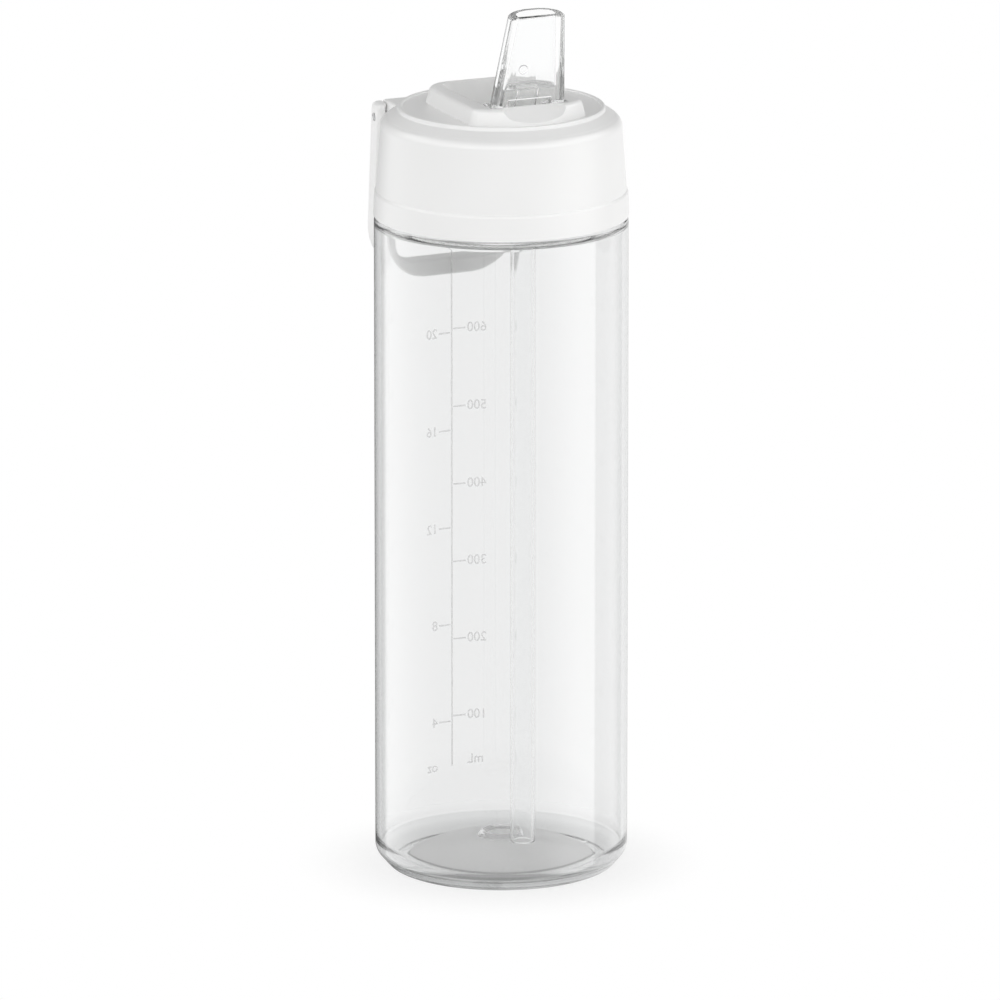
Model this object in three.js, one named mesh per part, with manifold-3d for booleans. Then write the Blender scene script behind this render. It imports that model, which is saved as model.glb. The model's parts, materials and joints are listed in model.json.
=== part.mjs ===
// Clear water bottle with a white screw lid, a flip-up drinking spout on a straw, and a carry loop.
// Millimetres, +Z up. The front, where the spout tips towards the drinker, faces -Y. The carry loop
// hangs at the back. Heights start at the plane that the bottle stands on.

import * as THREE from "three";
import { mergeVertices } from "three/addons/utils/BufferGeometryUtils.js";
import Module from "manifold-3d";

const wasm = await Module();
wasm.setup();

// Facets
const ROUND_FACETS = 48;
const SMALL_FACETS = 24;
const CORNER_STEPS = 3;
const LONGEST_ROUNDING = 0.48;
const SAME_POINT = 1e-4;

// Clearances, and how far a cutting solid runs past what it cuts
const SEAT_GAP = 0.3;
const PIVOT_GAP = 0.15;
const SWING_GAP = 0.4;
const OVERCUT = 1.0;

// Bottle
const bottleRadius = 38.0;
const bottleWall = 1.75;
const wallTop = 198.0;
const footRingWidth = 5.1;
const baseChamferWidth = 4.4;
const baseChamferHeight = 5.1;
const baseCornerRounding = 1.4;
const floorCornerRounding = 2.8;
const pushUpHeight = 7.3;
const pushUpFullness = 0.6;
const floorThickness = 2.4;
const floorDiscInset = 0.9;
const floorDiscHeight = 3.6;
const floorFullness = 0.55;
const gateButtonRadius = 6.0;
const gateButtonHeight = 0.7;
const gateRingWidth = 1.4;
const shoulderHeight = 2.0;
const shoulderRounding = 1.4;
const shoulderWall = 1.2;
const neckRootRounding = 4.0;
const shoulderWidth = 7.0;
const neckWall = 2.2;
const neckLength = 17.0;
const rimRounding = 0.8;

// Straw
const strawRadius = 3.75;
const strawWall = 1.0;
const strawFloorGap = 2.8;

// Lid gasket
const gasketThickness = 2.0;
const gasketOverhang = 1.0;

// Lid core: the inner threaded cap with the straw nipple
const threadRoom = 1.5;
const coreWall = 1.35;
const coreDeck = 2.0;
const coreHeadroom = 3.4;
const coreLandWidth = 4.5;
const coreLandTaper = 1.0;
const coreSkirtGap = 2.1;
const nippleLength = 11.0;
const nippleWall = 0.9;
const ventHoleRadius = 2.0;

// Lid shell
const lidProud = 0.2;
const lidBandHeight = 7.4;
const lidBandDraft = 0.3;
const lidBandStep = 0.5;
const shellWall = 1.8;
const lidShoulderWidth = 5.6;
const lidShoulderRise = 3.2;
const lidShoulderRounding = 1.2;
const beadWidth = 1.4;
const beadHeight = 0.6;
const lidDeckThickness = 2.5;
const recessFloorThickness = 2.3;
const deckAboveRecess = 5.4;

// Raised dais round the spout
const daisFrontMargin = 4.0;
const daisDraft = 1.6;
const daisRim = 4.4;
const daisBackRim = 1.9;
const daisBackRounding = 9.0;
const daisBackTaper = 1.2;
const pocketWall = 1.8;
const rampHalfWidth = 10.9;
const flushDrop = 0.1;

// Recess that takes the folded spout
const recessSideGap = 1.0;
const recessTipGap = 0.8;
const recessBackRounding = 6.0;
const recessMouthChamfer = 1.6;
const recessStartBehindPivot = 1.2;
const detentLength = 2.3;
const detentRadius = 1.5;
const detentFromPivot = 17.2;

// Spout
const spoutSetback = 10.65;
const spoutLength = 33.4;
const spoutLean = 14.3;
const spoutBaseHalfWidth = 12.2;
const spoutBaseHalfDepth = 3.9;
const spoutTipHalfWidth = 8.8;
const spoutTipHalfDepth = 3.25;
const spoutFrontRounding = 1.2;
const spoutBackRounding = 5.0;
const spoutLipRounding = 1.5;
const spoutLipWidthShare = 0.8;
const spoutLipDepthShare = 0.6;
const spoutSideWall = 2.7;
const spoutFaceWall = 1.2;
const spoutChannelFloor = 9.5;
const barrelRadius = 4.2;
const trunnionRadius = 1.9;
const trunnionLength = 3.0;
const notchHalfWidth = 7.0;
const notchDepth = 2.0;
const notchTop = 6.8;
const nubRadius = 1.5;
const nubHeight = 0.8;
const nubFromPivot = 13.2;

// Spout seal
const sealSlotHalfLength = 3.5;
const sealSlotHalfWidth = 0.9;
const sealWall = 1.0;
const sealForward = 1.1;
const sealFlange = 0.9;
const sealFlangeHeight = 1.0;

// Vent valve
const ventStemRadius = 2.4;
const ventFlangeRadius = 4.0;
const ventFlangeThickness = 0.7;
const ventDomeHeight = 1.4;
const ventSkin = 0.6;

// Carry loop and its two pins
const loopHalfWidth = 24.5;
const loopThickness = 5.4;
const loopArmTop = 3.0;
const loopArmLow = 4.6;
const loopArmSplay = 9.0;
const loopDrop = 51.0;
const loopBow = 5.5;
const loopOuterRounding = 17.0;
const loopInnerRounding = 6.5;
const loopKnuckle = 4.4;
const loopKnuckleRounding = 3.6;
const loopLean = 4.9;
const loopPinBelowShoulder = 4.8;
const loopPinProud = 0.6;
const loopPinRadius = 1.2;
const loopPinBite = 4.0;
const loopPinSunk = 0.5;

// Hinge lug on the back of the lid
const lugAbovePin = 5.1;
const lugPastPin = 2.2;
const lugBelowPin = 3.4;
const lugFootDrop = 10.0;
const lugRounding = 2.4;

// Radii and heights that follow from the sizes above
const innerRadius = bottleRadius - bottleWall;
const footRadius = bottleRadius - baseChamferWidth;
const footInner = footRadius - footRingWidth;
const floorDiscRadius = footInner - floorDiscInset;
const neckRadius = bottleRadius - shoulderWidth;
const neckInner = neckRadius - neckWall;
const coreInner = neckRadius + threadRoom;
const coneTopRadius = coreInner + coreWall + SEAT_GAP + shellWall;
const beadRadius = coneTopRadius - lidShoulderWidth;
const daisFrontRadius = beadRadius - daisFrontMargin;
const pivotFromAxis = daisFrontRadius - spoutSetback;

const shoulderTop = wallTop + shoulderHeight;
const rimHeight = shoulderTop + neckLength;
const floorCentre = pushUpHeight + floorThickness;
const floorDrop = (floorCentre - floorDiscHeight) * (pivotFromAxis / floorDiscRadius) ** 2;
const floorAtStraw = floorCentre - floorDrop;

const gasketBottom = rimHeight + SEAT_GAP;
const landHeight = gasketBottom + gasketThickness + SEAT_GAP;
const coreCeiling = landHeight + coreHeadroom;
const coreTop = coreCeiling + coreDeck;

const pocketBottom = coreTop + SEAT_GAP;
const recessFloor = pocketBottom + recessFloorThickness;
const pivotHeight = recessFloor + ventDomeHeight + SEAT_GAP + nubHeight + spoutBaseHalfDepth;
const daisTop = pivotHeight + spoutBaseHalfDepth - flushDrop;

const lidBottom = shoulderTop + SWING_GAP;
const lidBottomRadius = bottleRadius + lidProud;
const bandTop = lidBottom + lidBandHeight;
const bandTopRadius = lidBottomRadius - lidBandDraft;
const deckTop = recessFloor + deckAboveRecess;
const coneTop = deckTop - lidShoulderRise - beadHeight;
const coneBottomRadius = bandTopRadius - lidBandStep;

const pivotY = -pivotFromAxis;
const spoutLeanAngle = THREE.MathUtils.degToRad(spoutLean);
const spoutFrontAtPivot = spoutBaseHalfDepth / Math.cos(spoutLeanAngle);
const spoutFrontAtDais = spoutFrontAtPivot + (daisTop - pivotHeight) * Math.tan(spoutLeanAngle);
const recessHalfWidth = spoutBaseHalfWidth + recessSideGap;
const cradleHalfWidth = spoutBaseHalfWidth + SWING_GAP;
const troughRadius = barrelRadius + SWING_GAP;
const recessBack = pivotY + spoutLength + recessTipGap;
const recessStart = pivotY + recessStartBehindPivot;
const cradleFront = pivotY - spoutFrontAtDais - SEAT_GAP;
const daisHalfWidth = recessHalfWidth + daisRim;
const daisBack = recessBack + daisBackRim;
const ventY = pivotY + nubFromPivot;
const socketDepth = cradleHalfWidth + trunnionLength;

const loopPinY = lidBottomRadius + loopPinProud;
const loopPinHeight = coneTop - loopPinBelowShoulder;
const lugHalfWidth = loopHalfWidth - loopArmTop - SEAT_GAP;
const lugBack = loopPinY + lugPastPin;
const loopArmStraight = lugBelowPin + lugFootDrop + SWING_GAP;

// Radius of the lid's outer cone at a height
function coneRadius(height) {
  const share = (height - bandTop) / (coneTop - bandTop);
  return THREE.MathUtils.lerp(coneBottomRadius, coneTopRadius, share);
}

// Two ends in rising order
function between(one, other) {
  return [Math.min(one, other), Math.max(one, other)];
}

// Drawing helpers: a corner is [x, y] or [x, y, rounding], where the rounding is the length that the
// curve takes from each side, at most a little under half of a side
function stepTowards(from, to, length) {
  const start = new THREE.Vector2(from[0], from[1]);
  const end = new THREE.Vector2(to[0], to[1]);
  const reach = Math.min(length, LONGEST_ROUNDING * start.distanceTo(end));
  return end.sub(start).setLength(reach).add(start);
}

function drawCorners(path, corners) {
  const count = corners.length;
  corners.forEach((corner, index) => {
    const [x, y, rounding = 0] = corner;
    const before = stepTowards(corner, corners[(index + count - 1) % count], rounding);
    if (index === 0) path.moveTo(before.x, before.y);
    else path.lineTo(before.x, before.y);
    if (rounding > 0) {
      const after = stepTowards(corner, corners[(index + 1) % count], rounding);
      path.quadraticCurveTo(x, y, after.x, after.y);
    }
  });
  return path;
}

function closedShape(corners) {
  const shape = drawCorners(new THREE.Shape(), corners);
  shape.closePath();
  return shape;
}

// Goes on along corners from where a path stands, up to the last corner
function drawOnwards(path, corners) {
  const all = [path.currentPoint.toArray(), ...corners];
  for (let at = 1; at < all.length; at += 1) {
    const [x, y, rounding = 0] = all[at];
    const before = stepTowards(all[at], all[at - 1], rounding);
    path.lineTo(before.x, before.y);
    if (rounding > 0 && at + 1 < all.length) {
      const after = stepTowards(all[at], all[at + 1], rounding);
      path.quadraticCurveTo(x, y, after.x, after.y);
    }
  }
}

function roundedRectangle(halfWidth, halfDepth, rounding) {
  const corner = Math.min(rounding, halfWidth, halfDepth);
  return closedShape([
    [-halfWidth, -halfDepth, corner],
    [halfWidth, -halfDepth, corner],
    [halfWidth, halfDepth, corner],
    [-halfWidth, halfDepth, corner],
  ]);
}

// Solids from three.js geometry
function solid(geometry) {
  const bare = geometry.index ? geometry.toNonIndexed() : geometry.clone();
  bare.deleteAttribute("normal");
  bare.deleteAttribute("uv");
  const merged = mergeVertices(bare, SAME_POINT);
  const index = merged.index.array;
  const triangles = [];
  for (let at = 0; at < index.length; at += 3) {
    const [a, b, c] = [index[at], index[at + 1], index[at + 2]];
    if (a !== b && b !== c && c !== a) triangles.push(a, b, c);
  }
  return new wasm.Manifold(new wasm.Mesh({
    numProp: 3,
    vertProperties: new Float32Array(merged.attributes.position.array),
    triVerts: new Uint32Array(triangles),
  }));
}

function surface(manifold) {
  const mesh = manifold.getMesh();
  const geometry = new THREE.BufferGeometry();
  geometry.setAttribute("position", new THREE.BufferAttribute(mesh.vertProperties, 3));
  geometry.setIndex(new THREE.BufferAttribute(mesh.triVerts, 1));
  geometry.computeVertexNormals();
  return geometry;
}

// A profile of points turned about an upright line, up its outside and down its inside
function revolve(points, facets = ROUND_FACETS, y = 0) {
  const geometry = new THREE.LatheGeometry(points, facets);
  geometry.rotateX(Math.PI / 2);
  geometry.translate(0, y, 0);
  return solid(geometry);
}

// The same from straight corners, each [radius, height]
function revolveCorners(corners, facets) {
  return revolve(corners.map(([radius, height]) => new THREE.Vector2(radius, height)), facets);
}

function ring(inner, outer, bottom, top, facets) {
  const corners = [[inner, bottom], [outer, bottom], [outer, top], [inner, top], [inner, bottom]];
  return revolveCorners(corners, facets);
}

function uprightCylinder(radius, x, y, bottom, top) {
  const geometry = new THREE.CylinderGeometry(radius, radius, top - bottom, SMALL_FACETS);
  geometry.rotateX(Math.PI / 2);
  geometry.translate(x, y, (bottom + top) / 2);
  return solid(geometry);
}

function crossCylinder(radius, y, z, left, right) {
  const geometry = new THREE.CylinderGeometry(radius, radius, right - left, SMALL_FACETS);
  geometry.rotateZ(-Math.PI / 2);
  geometry.translate((left + right) / 2, y, z);
  return solid(geometry);
}

// A shape drawn in plan, from one height to another, then tilted about X and moved along Y
function prism(shape, bottom, top, { tilt = 0, y = 0 } = {}) {
  const options = { depth: top - bottom, bevelEnabled: false, curveSegments: CORNER_STEPS };
  const geometry = new THREE.ExtrudeGeometry(shape, options);
  geometry.translate(0, 0, bottom);
  geometry.rotateX(tilt);
  geometry.translate(0, y, 0);
  return solid(geometry);
}

// A shape drawn from the side, as [y, z], from one x to another
function crossPrism(shape, left, right) {
  const options = { depth: right - left, bevelEnabled: false, curveSegments: CORNER_STEPS };
  const geometry = new THREE.ExtrudeGeometry(shape, options);
  const turn = new THREE.Matrix4().makeBasis(
    new THREE.Vector3(0, 1, 0),
    new THREE.Vector3(0, 0, 1),
    new THREE.Vector3(1, 0, 0),
  );
  geometry.applyMatrix4(turn);
  geometry.translate(left, 0, 0);
  return solid(geometry);
}

// A loft through convex plan shapes with the same corners, each given as { shape, height, y }
function loft(sections) {
  const rings = sections.map(({ shape, height, y = 0 }) => {
    const points = shape.getPoints(CORNER_STEPS);
    if (points[0].distanceTo(points[points.length - 1]) < SAME_POINT) points.pop();
    return points.map((point) => new THREE.Vector3(point.x, point.y + y, height));
  });
  const count = rings[0].length;
  const positions = [];
  const addTriangle = (...corners) => corners.forEach((corner) => positions.push(...corner.toArray()));
  for (let level = 0; level + 1 < rings.length; level += 1) {
    for (let at = 0; at < count; at += 1) {
      const next = (at + 1) % count;
      addTriangle(rings[level][at], rings[level][next], rings[level + 1][next]);
      addTriangle(rings[level][at], rings[level + 1][next], rings[level + 1][at]);
    }
  }
  const last = rings[rings.length - 1];
  for (let at = 1; at + 1 < count; at += 1) {
    addTriangle(rings[0][0], rings[0][at + 1], rings[0][at]);
    addTriangle(last[0], last[at], last[at + 1]);
  }
  const geometry = new THREE.BufferGeometry();
  geometry.setAttribute("position", new THREE.Float32BufferAttribute(positions, 3));
  return solid(geometry);
}

// Bottle: one blown wall from the pushed-up base to the neck's rim
function makeBottle() {
  const innerFoot = footRadius - bottleWall / 2;
  const path = new THREE.Path();
  path.moveTo(0, pushUpHeight);
  path.quadraticCurveTo(pushUpFullness * footInner, pushUpHeight, footInner, 0);
  drawOnwards(path, [
    [footRadius, 0, baseCornerRounding],
    [bottleRadius, baseChamferHeight, baseCornerRounding],
    [bottleRadius, shoulderTop, shoulderRounding],
    [neckRadius, shoulderTop + SEAT_GAP, rimRounding],
    [neckRadius, rimHeight, rimRounding],
    [neckInner, rimHeight, rimRounding],
    [neckInner, shoulderTop - shoulderWall, neckRootRounding],
    [innerRadius, shoulderTop - shoulderWall - SEAT_GAP, shoulderRounding],
    [innerRadius, baseChamferHeight + bottleWall, floorCornerRounding],
    [innerFoot, floorThickness, floorCornerRounding],
    [floorDiscRadius + bottleWall, floorThickness],
    [floorDiscRadius, floorDiscHeight],
  ]);
  const domeEdge = gateButtonRadius + gateButtonHeight;
  const ringInner = gateButtonRadius - gateRingWidth;
  path.quadraticCurveTo(floorFullness * floorDiscRadius, floorCentre, domeEdge, floorCentre);
  path.lineTo(gateButtonRadius, floorCentre + gateButtonHeight);
  path.lineTo(ringInner, floorCentre + gateButtonHeight);
  path.lineTo(ringInner - gateButtonHeight, floorCentre);
  path.lineTo(0, floorCentre);
  return revolve(path.getPoints(CORNER_STEPS));
}

// Straw, drawn about its own axis: from just over the floor to the core's ceiling
function makeStraw() {
  const bottom = floorAtStraw + strawFloorGap;
  return ring(strawRadius - strawWall, strawRadius, bottom, coreCeiling - SEAT_GAP, SMALL_FACETS);
}

// Gasket between the neck's rim and the core's land
function makeGasket() {
  const inner = neckInner - gasketOverhang / 2;
  const outer = Math.min(neckRadius + gasketOverhang, coreInner - SEAT_GAP);
  return ring(inner, outer, gasketBottom, gasketBottom + gasketThickness);
}

// Lid core: threaded skirt, sealing land, deck, straw nipple and vent hole
function makeLidCore() {
  const skirtBottom = shoulderTop + coreSkirtGap;
  const skirtTopRadius = coneRadius(coreTop) - shellWall - SEAT_GAP;
  const skirtBottomRadius = coneRadius(bandTop) - shellWall - SEAT_GAP;
  const landInner = coreInner - coreLandWidth;
  const cap = revolveCorners([
    [0, coreCeiling],
    [landInner - coreLandTaper, coreCeiling],
    [landInner, landHeight],
    [coreInner, landHeight],
    [coreInner, skirtBottom],
    [skirtBottomRadius, skirtBottom],
    [skirtBottomRadius, bandTop],
    [skirtTopRadius, coreTop],
    [0, coreTop],
  ]);
  const nippleRadius = strawRadius - strawWall - PIVOT_GAP;
  const nippleBottom = coreCeiling - nippleLength;
  const boreTop = coreTop + OVERCUT;
  const nipple = uprightCylinder(nippleRadius, 0, pivotY, nippleBottom, coreCeiling + coreDeck / 2);
  const bore = uprightCylinder(nippleRadius - nippleWall, 0, pivotY, nippleBottom - OVERCUT, boreTop);
  const vent = uprightCylinder(ventHoleRadius, 0, ventY, coreCeiling - OVERCUT, boreTop);
  return cap.add(nipple).subtract(bore).subtract(vent);
}

// Plan of the dais, widened all round by the draft of its walls
function daisPlan(spread) {
  const side = daisHalfWidth + spread;
  const back = daisBack + spread;
  const front = -beadRadius;
  return closedShape([
    [-side, front],
    [side, front],
    [side, 0],
    [side - daisBackTaper, back, daisBackRounding],
    [daisBackTaper - side, back, daisBackRounding],
    [-side, 0],
  ]);
}

// Dais: drafted walls, with a front that is round about the lid's axis
function makeDais() {
  const foot = deckTop - lidDeckThickness / 2;
  const block = loft([
    { shape: daisPlan(daisDraft), height: foot },
    { shape: daisPlan(0), height: daisTop },
  ]);
  const front = revolveCorners([
    [0, foot - OVERCUT],
    [daisFrontRadius + daisDraft, foot - OVERCUT],
    [daisFrontRadius + daisDraft, foot],
    [daisFrontRadius, daisTop],
    [daisFrontRadius, daisTop + OVERCUT],
    [0, daisTop + OVERCUT],
  ]);
  return block.intersect(front);
}

// Ramp from the dais's front foot up to the spout
function makeRamp() {
  const clear = daisFrontRadius + daisDraft;
  const profile = closedShape([
    [cradleFront - SWING_GAP, daisTop + SWING_GAP],
    [-clear, deckTop + SWING_GAP],
    [-clear - daisFrontMargin, deckTop + SWING_GAP],
    [-clear - daisFrontMargin, daisTop + daisFrontMargin],
    [cradleFront - SWING_GAP, daisTop + daisFrontMargin],
  ]);
  return crossPrism(profile, -rampHalfWidth, rampHalfWidth);
}

// Recess for the folded spout, with the trough that the barrel turns in
function makeRecess() {
  const above = daisTop + 2 * daisFrontMargin;
  const mouth = pivotY + barrelRadius;
  const plan = closedShape([
    [-cradleHalfWidth, recessStart],
    [cradleHalfWidth, recessStart],
    [cradleHalfWidth, mouth],
    [recessHalfWidth, mouth + recessMouthChamfer],
    [recessHalfWidth, recessBack, recessBackRounding],
    [-recessHalfWidth, recessBack, recessBackRounding],
    [-recessHalfWidth, mouth + recessMouthChamfer],
    [-cradleHalfWidth, mouth],
  ]);
  const front = closedShape([
    [cradleFront, pivotHeight],
    [mouth, pivotHeight],
    [mouth, above],
    [cradleFront, above],
  ]);
  return prism(plan, recessFloor, above)
    .add(crossPrism(front, -cradleHalfWidth, cradleHalfWidth))
    .add(crossCylinder(troughRadius, pivotY, pivotHeight, -cradleHalfWidth, cradleHalfWidth));
}

// Rounded rib on one of the recess's side walls that grips the folded spout
function makeDetent(side) {
  const y = pivotY + detentFromPivot;
  const wall = side * (recessHalfWidth + SEAT_GAP);
  const tip = wall - side * (detentLength - detentRadius);
  const [bottom, top] = [recessFloor - SEAT_GAP, daisTop - SEAT_GAP];
  const rib = prism(closedShape([
    [tip, y - detentRadius],
    [wall, y - detentRadius],
    [wall, y + detentRadius],
    [tip, y + detentRadius],
  ]), bottom, top);
  return rib.add(uprightCylinder(detentRadius, tip, y, bottom, top));
}

// Lug that carries the loop's pins
function makeLug() {
  const top = loopPinHeight + lugAbovePin;
  const low = loopPinHeight - lugBelowPin;
  const root = beadRadius - lugRounding;
  const profile = closedShape([
    [root, top],
    [root, low - lugFootDrop],
    [coneRadius(low - lugFootDrop) - shellWall / 2, low - lugFootDrop],
    [lugBack, low, lugRounding],
    [lugBack, top, lugRounding],
  ]);
  return crossPrism(profile, -lugHalfWidth, lugHalfWidth);
}

function sealPlan(spread) {
  const rounding = sealSlotHalfWidth + spread;
  return roundedRectangle(sealSlotHalfLength + spread, sealSlotHalfWidth + spread, rounding);
}

function sealColumn(spread, bottom, top) {
  return prism(sealPlan(spread), bottom, top, { y: pivotY - sealForward });
}

// Lid shell: skirt, cone, slanted shoulder with its bead, dais, recess and hinge lug
function makeLidShell() {
  const outside = new THREE.Path();
  const innerTop = deckTop - lidDeckThickness;
  outside.moveTo(0, innerTop);
  drawOnwards(outside, [
    [coneRadius(innerTop) - shellWall, innerTop],
    [coneRadius(bandTop) - shellWall, bandTop],
    [lidBottomRadius - shellWall, lidBottom],
    [lidBottomRadius, lidBottom, lidBandStep],
    [bandTopRadius, bandTop, lidBandStep],
    [coneBottomRadius, bandTop + lidBandStep],
    [coneTopRadius, coneTop, lidShoulderRounding],
    [beadRadius + beadWidth / 2, deckTop - beadHeight],
    [beadRadius + beadWidth / 3, deckTop + beadHeight, beadWidth / 3],
    [beadRadius - beadWidth / 3, deckTop + beadHeight, beadWidth / 3],
    [beadRadius - beadWidth / 2, deckTop],
    [0, deckTop],
  ]);
  const skin = revolve(outside.getPoints(CORNER_STEPS));
  const innerCone = revolveCorners([
    [0, lidBottom - OVERCUT],
    [coneRadius(bandTop) - shellWall, lidBottom - OVERCUT],
    [coneRadius(bandTop) - shellWall, bandTop],
    [coneRadius(innerTop) - shellWall, innerTop],
    [0, innerTop],
  ]);
  const deckRoom = uprightCylinder(beadRadius, 0, 0, innerTop - OVERCUT, daisTop);
  const lug = makeLug().subtract(innerCone).subtract(deckRoom);

  const pocketHalfWidth = socketDepth + pocketWall;
  const pocketFront = cradleFront - pocketWall;
  const pocketBack = recessBack + pocketWall;
  const pocketPlan = closedShape([
    [-pocketHalfWidth, pocketFront, pocketWall],
    [pocketHalfWidth, pocketFront, pocketWall],
    [pocketHalfWidth, pocketBack, recessBackRounding],
    [-pocketHalfWidth, pocketBack, recessBackRounding],
  ]);
  const pocket = prism(pocketPlan, pocketBottom, innerTop + SEAT_GAP);

  let shell = skin.add(lug).add(makeDais()).add(pocket).subtract(makeRecess()).subtract(makeRamp());
  shell = shell.add(makeDetent(-1)).add(makeDetent(1));

  const socketRadius = trunnionRadius + PIVOT_GAP;
  const holeBottom = pocketBottom - OVERCUT;
  const flangeTop = pocketBottom + sealFlangeHeight + SEAT_GAP;
  shell = shell.subtract(crossCylinder(socketRadius, pivotY, pivotHeight, -socketDepth, socketDepth));
  shell = shell.subtract(sealColumn(sealWall + SEAT_GAP, holeBottom, pivotHeight));
  shell = shell.subtract(sealColumn(sealWall + sealFlange + SEAT_GAP, holeBottom, flangeTop));
  const ventHoleTop = recessFloor + OVERCUT;
  shell = shell.subtract(uprightCylinder(ventStemRadius + PIVOT_GAP, 0, ventY, holeBottom, ventHoleTop));

  const pinHoleRadius = loopPinRadius + PIVOT_GAP;
  const pinHoleEnd = lugHalfWidth - loopPinBite - SEAT_GAP;
  for (const side of [-1, 1]) {
    const [left, right] = between(side * pinHoleEnd, side * (lugHalfWidth + OVERCUT));
    shell = shell.subtract(crossCylinder(pinHoleRadius, loopPinY, loopPinHeight, left, right));
  }
  return shell;
}

// Spout, drawn upright with its pivot at the origin and the drinker towards -Y: its front is flat and
// its back is rounded
function spoutSection(share, inset) {
  const halfWidth = THREE.MathUtils.lerp(spoutBaseHalfWidth, spoutTipHalfWidth, share) - inset[0];
  const halfDepth = THREE.MathUtils.lerp(spoutBaseHalfDepth, spoutTipHalfDepth, share) - inset[1];
  const front = Math.max(spoutFrontRounding - inset[1], halfDepth / 4);
  const back = Math.max(spoutBackRounding - inset[1], halfDepth);
  const shape = closedShape([
    [-halfWidth, -halfDepth, front],
    [halfWidth, -halfDepth, front],
    [halfWidth, halfDepth, back],
    [-halfWidth, halfDepth, back],
  ]);
  return { shape, height: share * spoutLength };
}

function makeSpout() {
  const lipShare = spoutLipRounding / spoutLength;
  const lipInset = [spoutLipRounding * spoutLipWidthShare, spoutLipRounding * spoutLipDepthShare];
  const body = loft([
    spoutSection(0, [0, 0]),
    spoutSection(1 - lipShare, [0, 0]),
    spoutSection(1 - lipShare / 4, [lipInset[0] / 2, lipInset[1] / 2]),
    spoutSection(1, lipInset),
  ]);
  const barrel = crossCylinder(barrelRadius, 0, 0, -spoutBaseHalfWidth, spoutBaseHalfWidth);
  const reach = socketDepth - SEAT_GAP;
  const trunnions = crossCylinder(trunnionRadius, 0, 0, -reach, reach);
  const nubShare = nubFromPivot / spoutLength;
  const nubFace = THREE.MathUtils.lerp(spoutBaseHalfDepth, spoutTipHalfDepth, nubShare);
  const nubGeometry = new THREE.CylinderGeometry(nubRadius, nubRadius, 2 * nubHeight, SMALL_FACETS);
  nubGeometry.translate(0, nubFace, nubFromPivot);
  const nub = solid(nubGeometry);

  const wall = [spoutSideWall, spoutFaceWall];
  const channel = loft([
    spoutSection(spoutChannelFloor / spoutLength, wall),
    spoutSection(1 + OVERCUT / spoutLength, wall),
  ]);
  const aim = spoutLeanAngle + Math.asin(sealForward / barrelRadius);
  const lower = prism(sealPlan(0), -2 * barrelRadius, 0, { tilt: -aim });
  const upper = prism(sealPlan(0), 0, spoutChannelFloor + spoutFaceWall);
  const bend = crossCylinder(sealSlotHalfWidth, 0, 0, -sealSlotHalfLength, sealSlotHalfLength);
  const notch = crossPrism(closedShape([
    [-2 * spoutBaseHalfDepth, 0],
    [notchDepth - spoutBaseHalfDepth, 0],
    [notchDepth - spoutBaseHalfDepth, notchTop, notchDepth / 2],
    [-2 * spoutBaseHalfDepth, notchTop],
  ]), -notchHalfWidth, notchHalfWidth);
  return body.add(barrel).add(trunnions).add(nub)
    .subtract(channel).subtract(upper).subtract(bend).subtract(lower)
    .subtract(notch.subtract(barrel));
}

// Spout seal: a slotted gland whose hollow top follows the barrel
function makeSpoutSeal() {
  const bottom = pocketBottom + SEAT_GAP / 2;
  const column = sealColumn(sealWall, bottom, pivotHeight);
  const flange = sealColumn(sealWall + sealFlange, bottom, bottom + sealFlangeHeight);
  const slot = sealColumn(0, bottom - OVERCUT, pivotHeight + OVERCUT);
  const reach = sealSlotHalfLength + sealWall + sealFlange + OVERCUT;
  const barrel = crossCylinder(barrelRadius + SEAT_GAP, pivotY, pivotHeight, -reach, reach);
  return column.add(flange).subtract(slot).subtract(barrel);
}

// Vent valve: a domed button on the recess floor with a hollow stem
function makeVentValve() {
  const flangeBottom = recessFloor + SEAT_GAP / 2;
  const flangeTop = flangeBottom + ventFlangeThickness;
  const domeTop = recessFloor + ventDomeHeight;
  const stemBottom = pocketBottom + SEAT_GAP / 2;
  const path = new THREE.Path();
  path.moveTo(0, domeTop - ventSkin);
  drawOnwards(path, [
    [ventStemRadius - ventSkin, domeTop - ventSkin, ventSkin],
    [ventStemRadius - ventSkin, stemBottom],
    [ventStemRadius, stemBottom],
    [ventStemRadius, flangeBottom],
    [ventFlangeRadius, flangeBottom],
    [ventFlangeRadius, flangeTop],
    [ventStemRadius, flangeTop],
    [ventStemRadius, domeTop, ventSkin],
    [0, domeTop],
  ]);
  return revolve(path.getPoints(CORNER_STEPS), SMALL_FACETS, ventY);
}

// Carry loop, drawn flat with its pin axis at the origin
function makeCarryLoop() {
  const armTop = loopHalfWidth - loopArmTop;
  const armLow = loopHalfWidth - loopArmLow;
  const plan = closedShape([
    [-loopHalfWidth, loopKnuckle, loopKnuckleRounding],
    [-loopHalfWidth, -loopDrop, loopOuterRounding],
    [loopHalfWidth, -loopDrop, loopOuterRounding],
    [loopHalfWidth, loopKnuckle, loopKnuckleRounding],
    [armTop, loopKnuckle],
    [armTop, -loopArmStraight],
    [armLow, -loopArmStraight - loopArmSplay],
    [armLow, loopBow - loopDrop, loopInnerRounding],
    [-armLow, loopBow - loopDrop, loopInnerRounding],
    [-armLow, -loopArmStraight - loopArmSplay],
    [-armTop, -loopArmStraight],
    [-armTop, loopKnuckle],
  ].reverse());
  const band = prism(plan, -loopThickness / 2, loopThickness / 2, { tilt: Math.PI / 2 });
  const reach = loopHalfWidth + OVERCUT;
  return band.subtract(crossCylinder(loopPinRadius + PIVOT_GAP, 0, 0, -reach, reach));
}

function makeCarryPin(side) {
  const [left, right] = between(side * (lugHalfWidth - loopPinBite), side * (loopHalfWidth - loopPinSunk));
  return crossCylinder(loopPinRadius, 0, 0, left, right);
}

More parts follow.
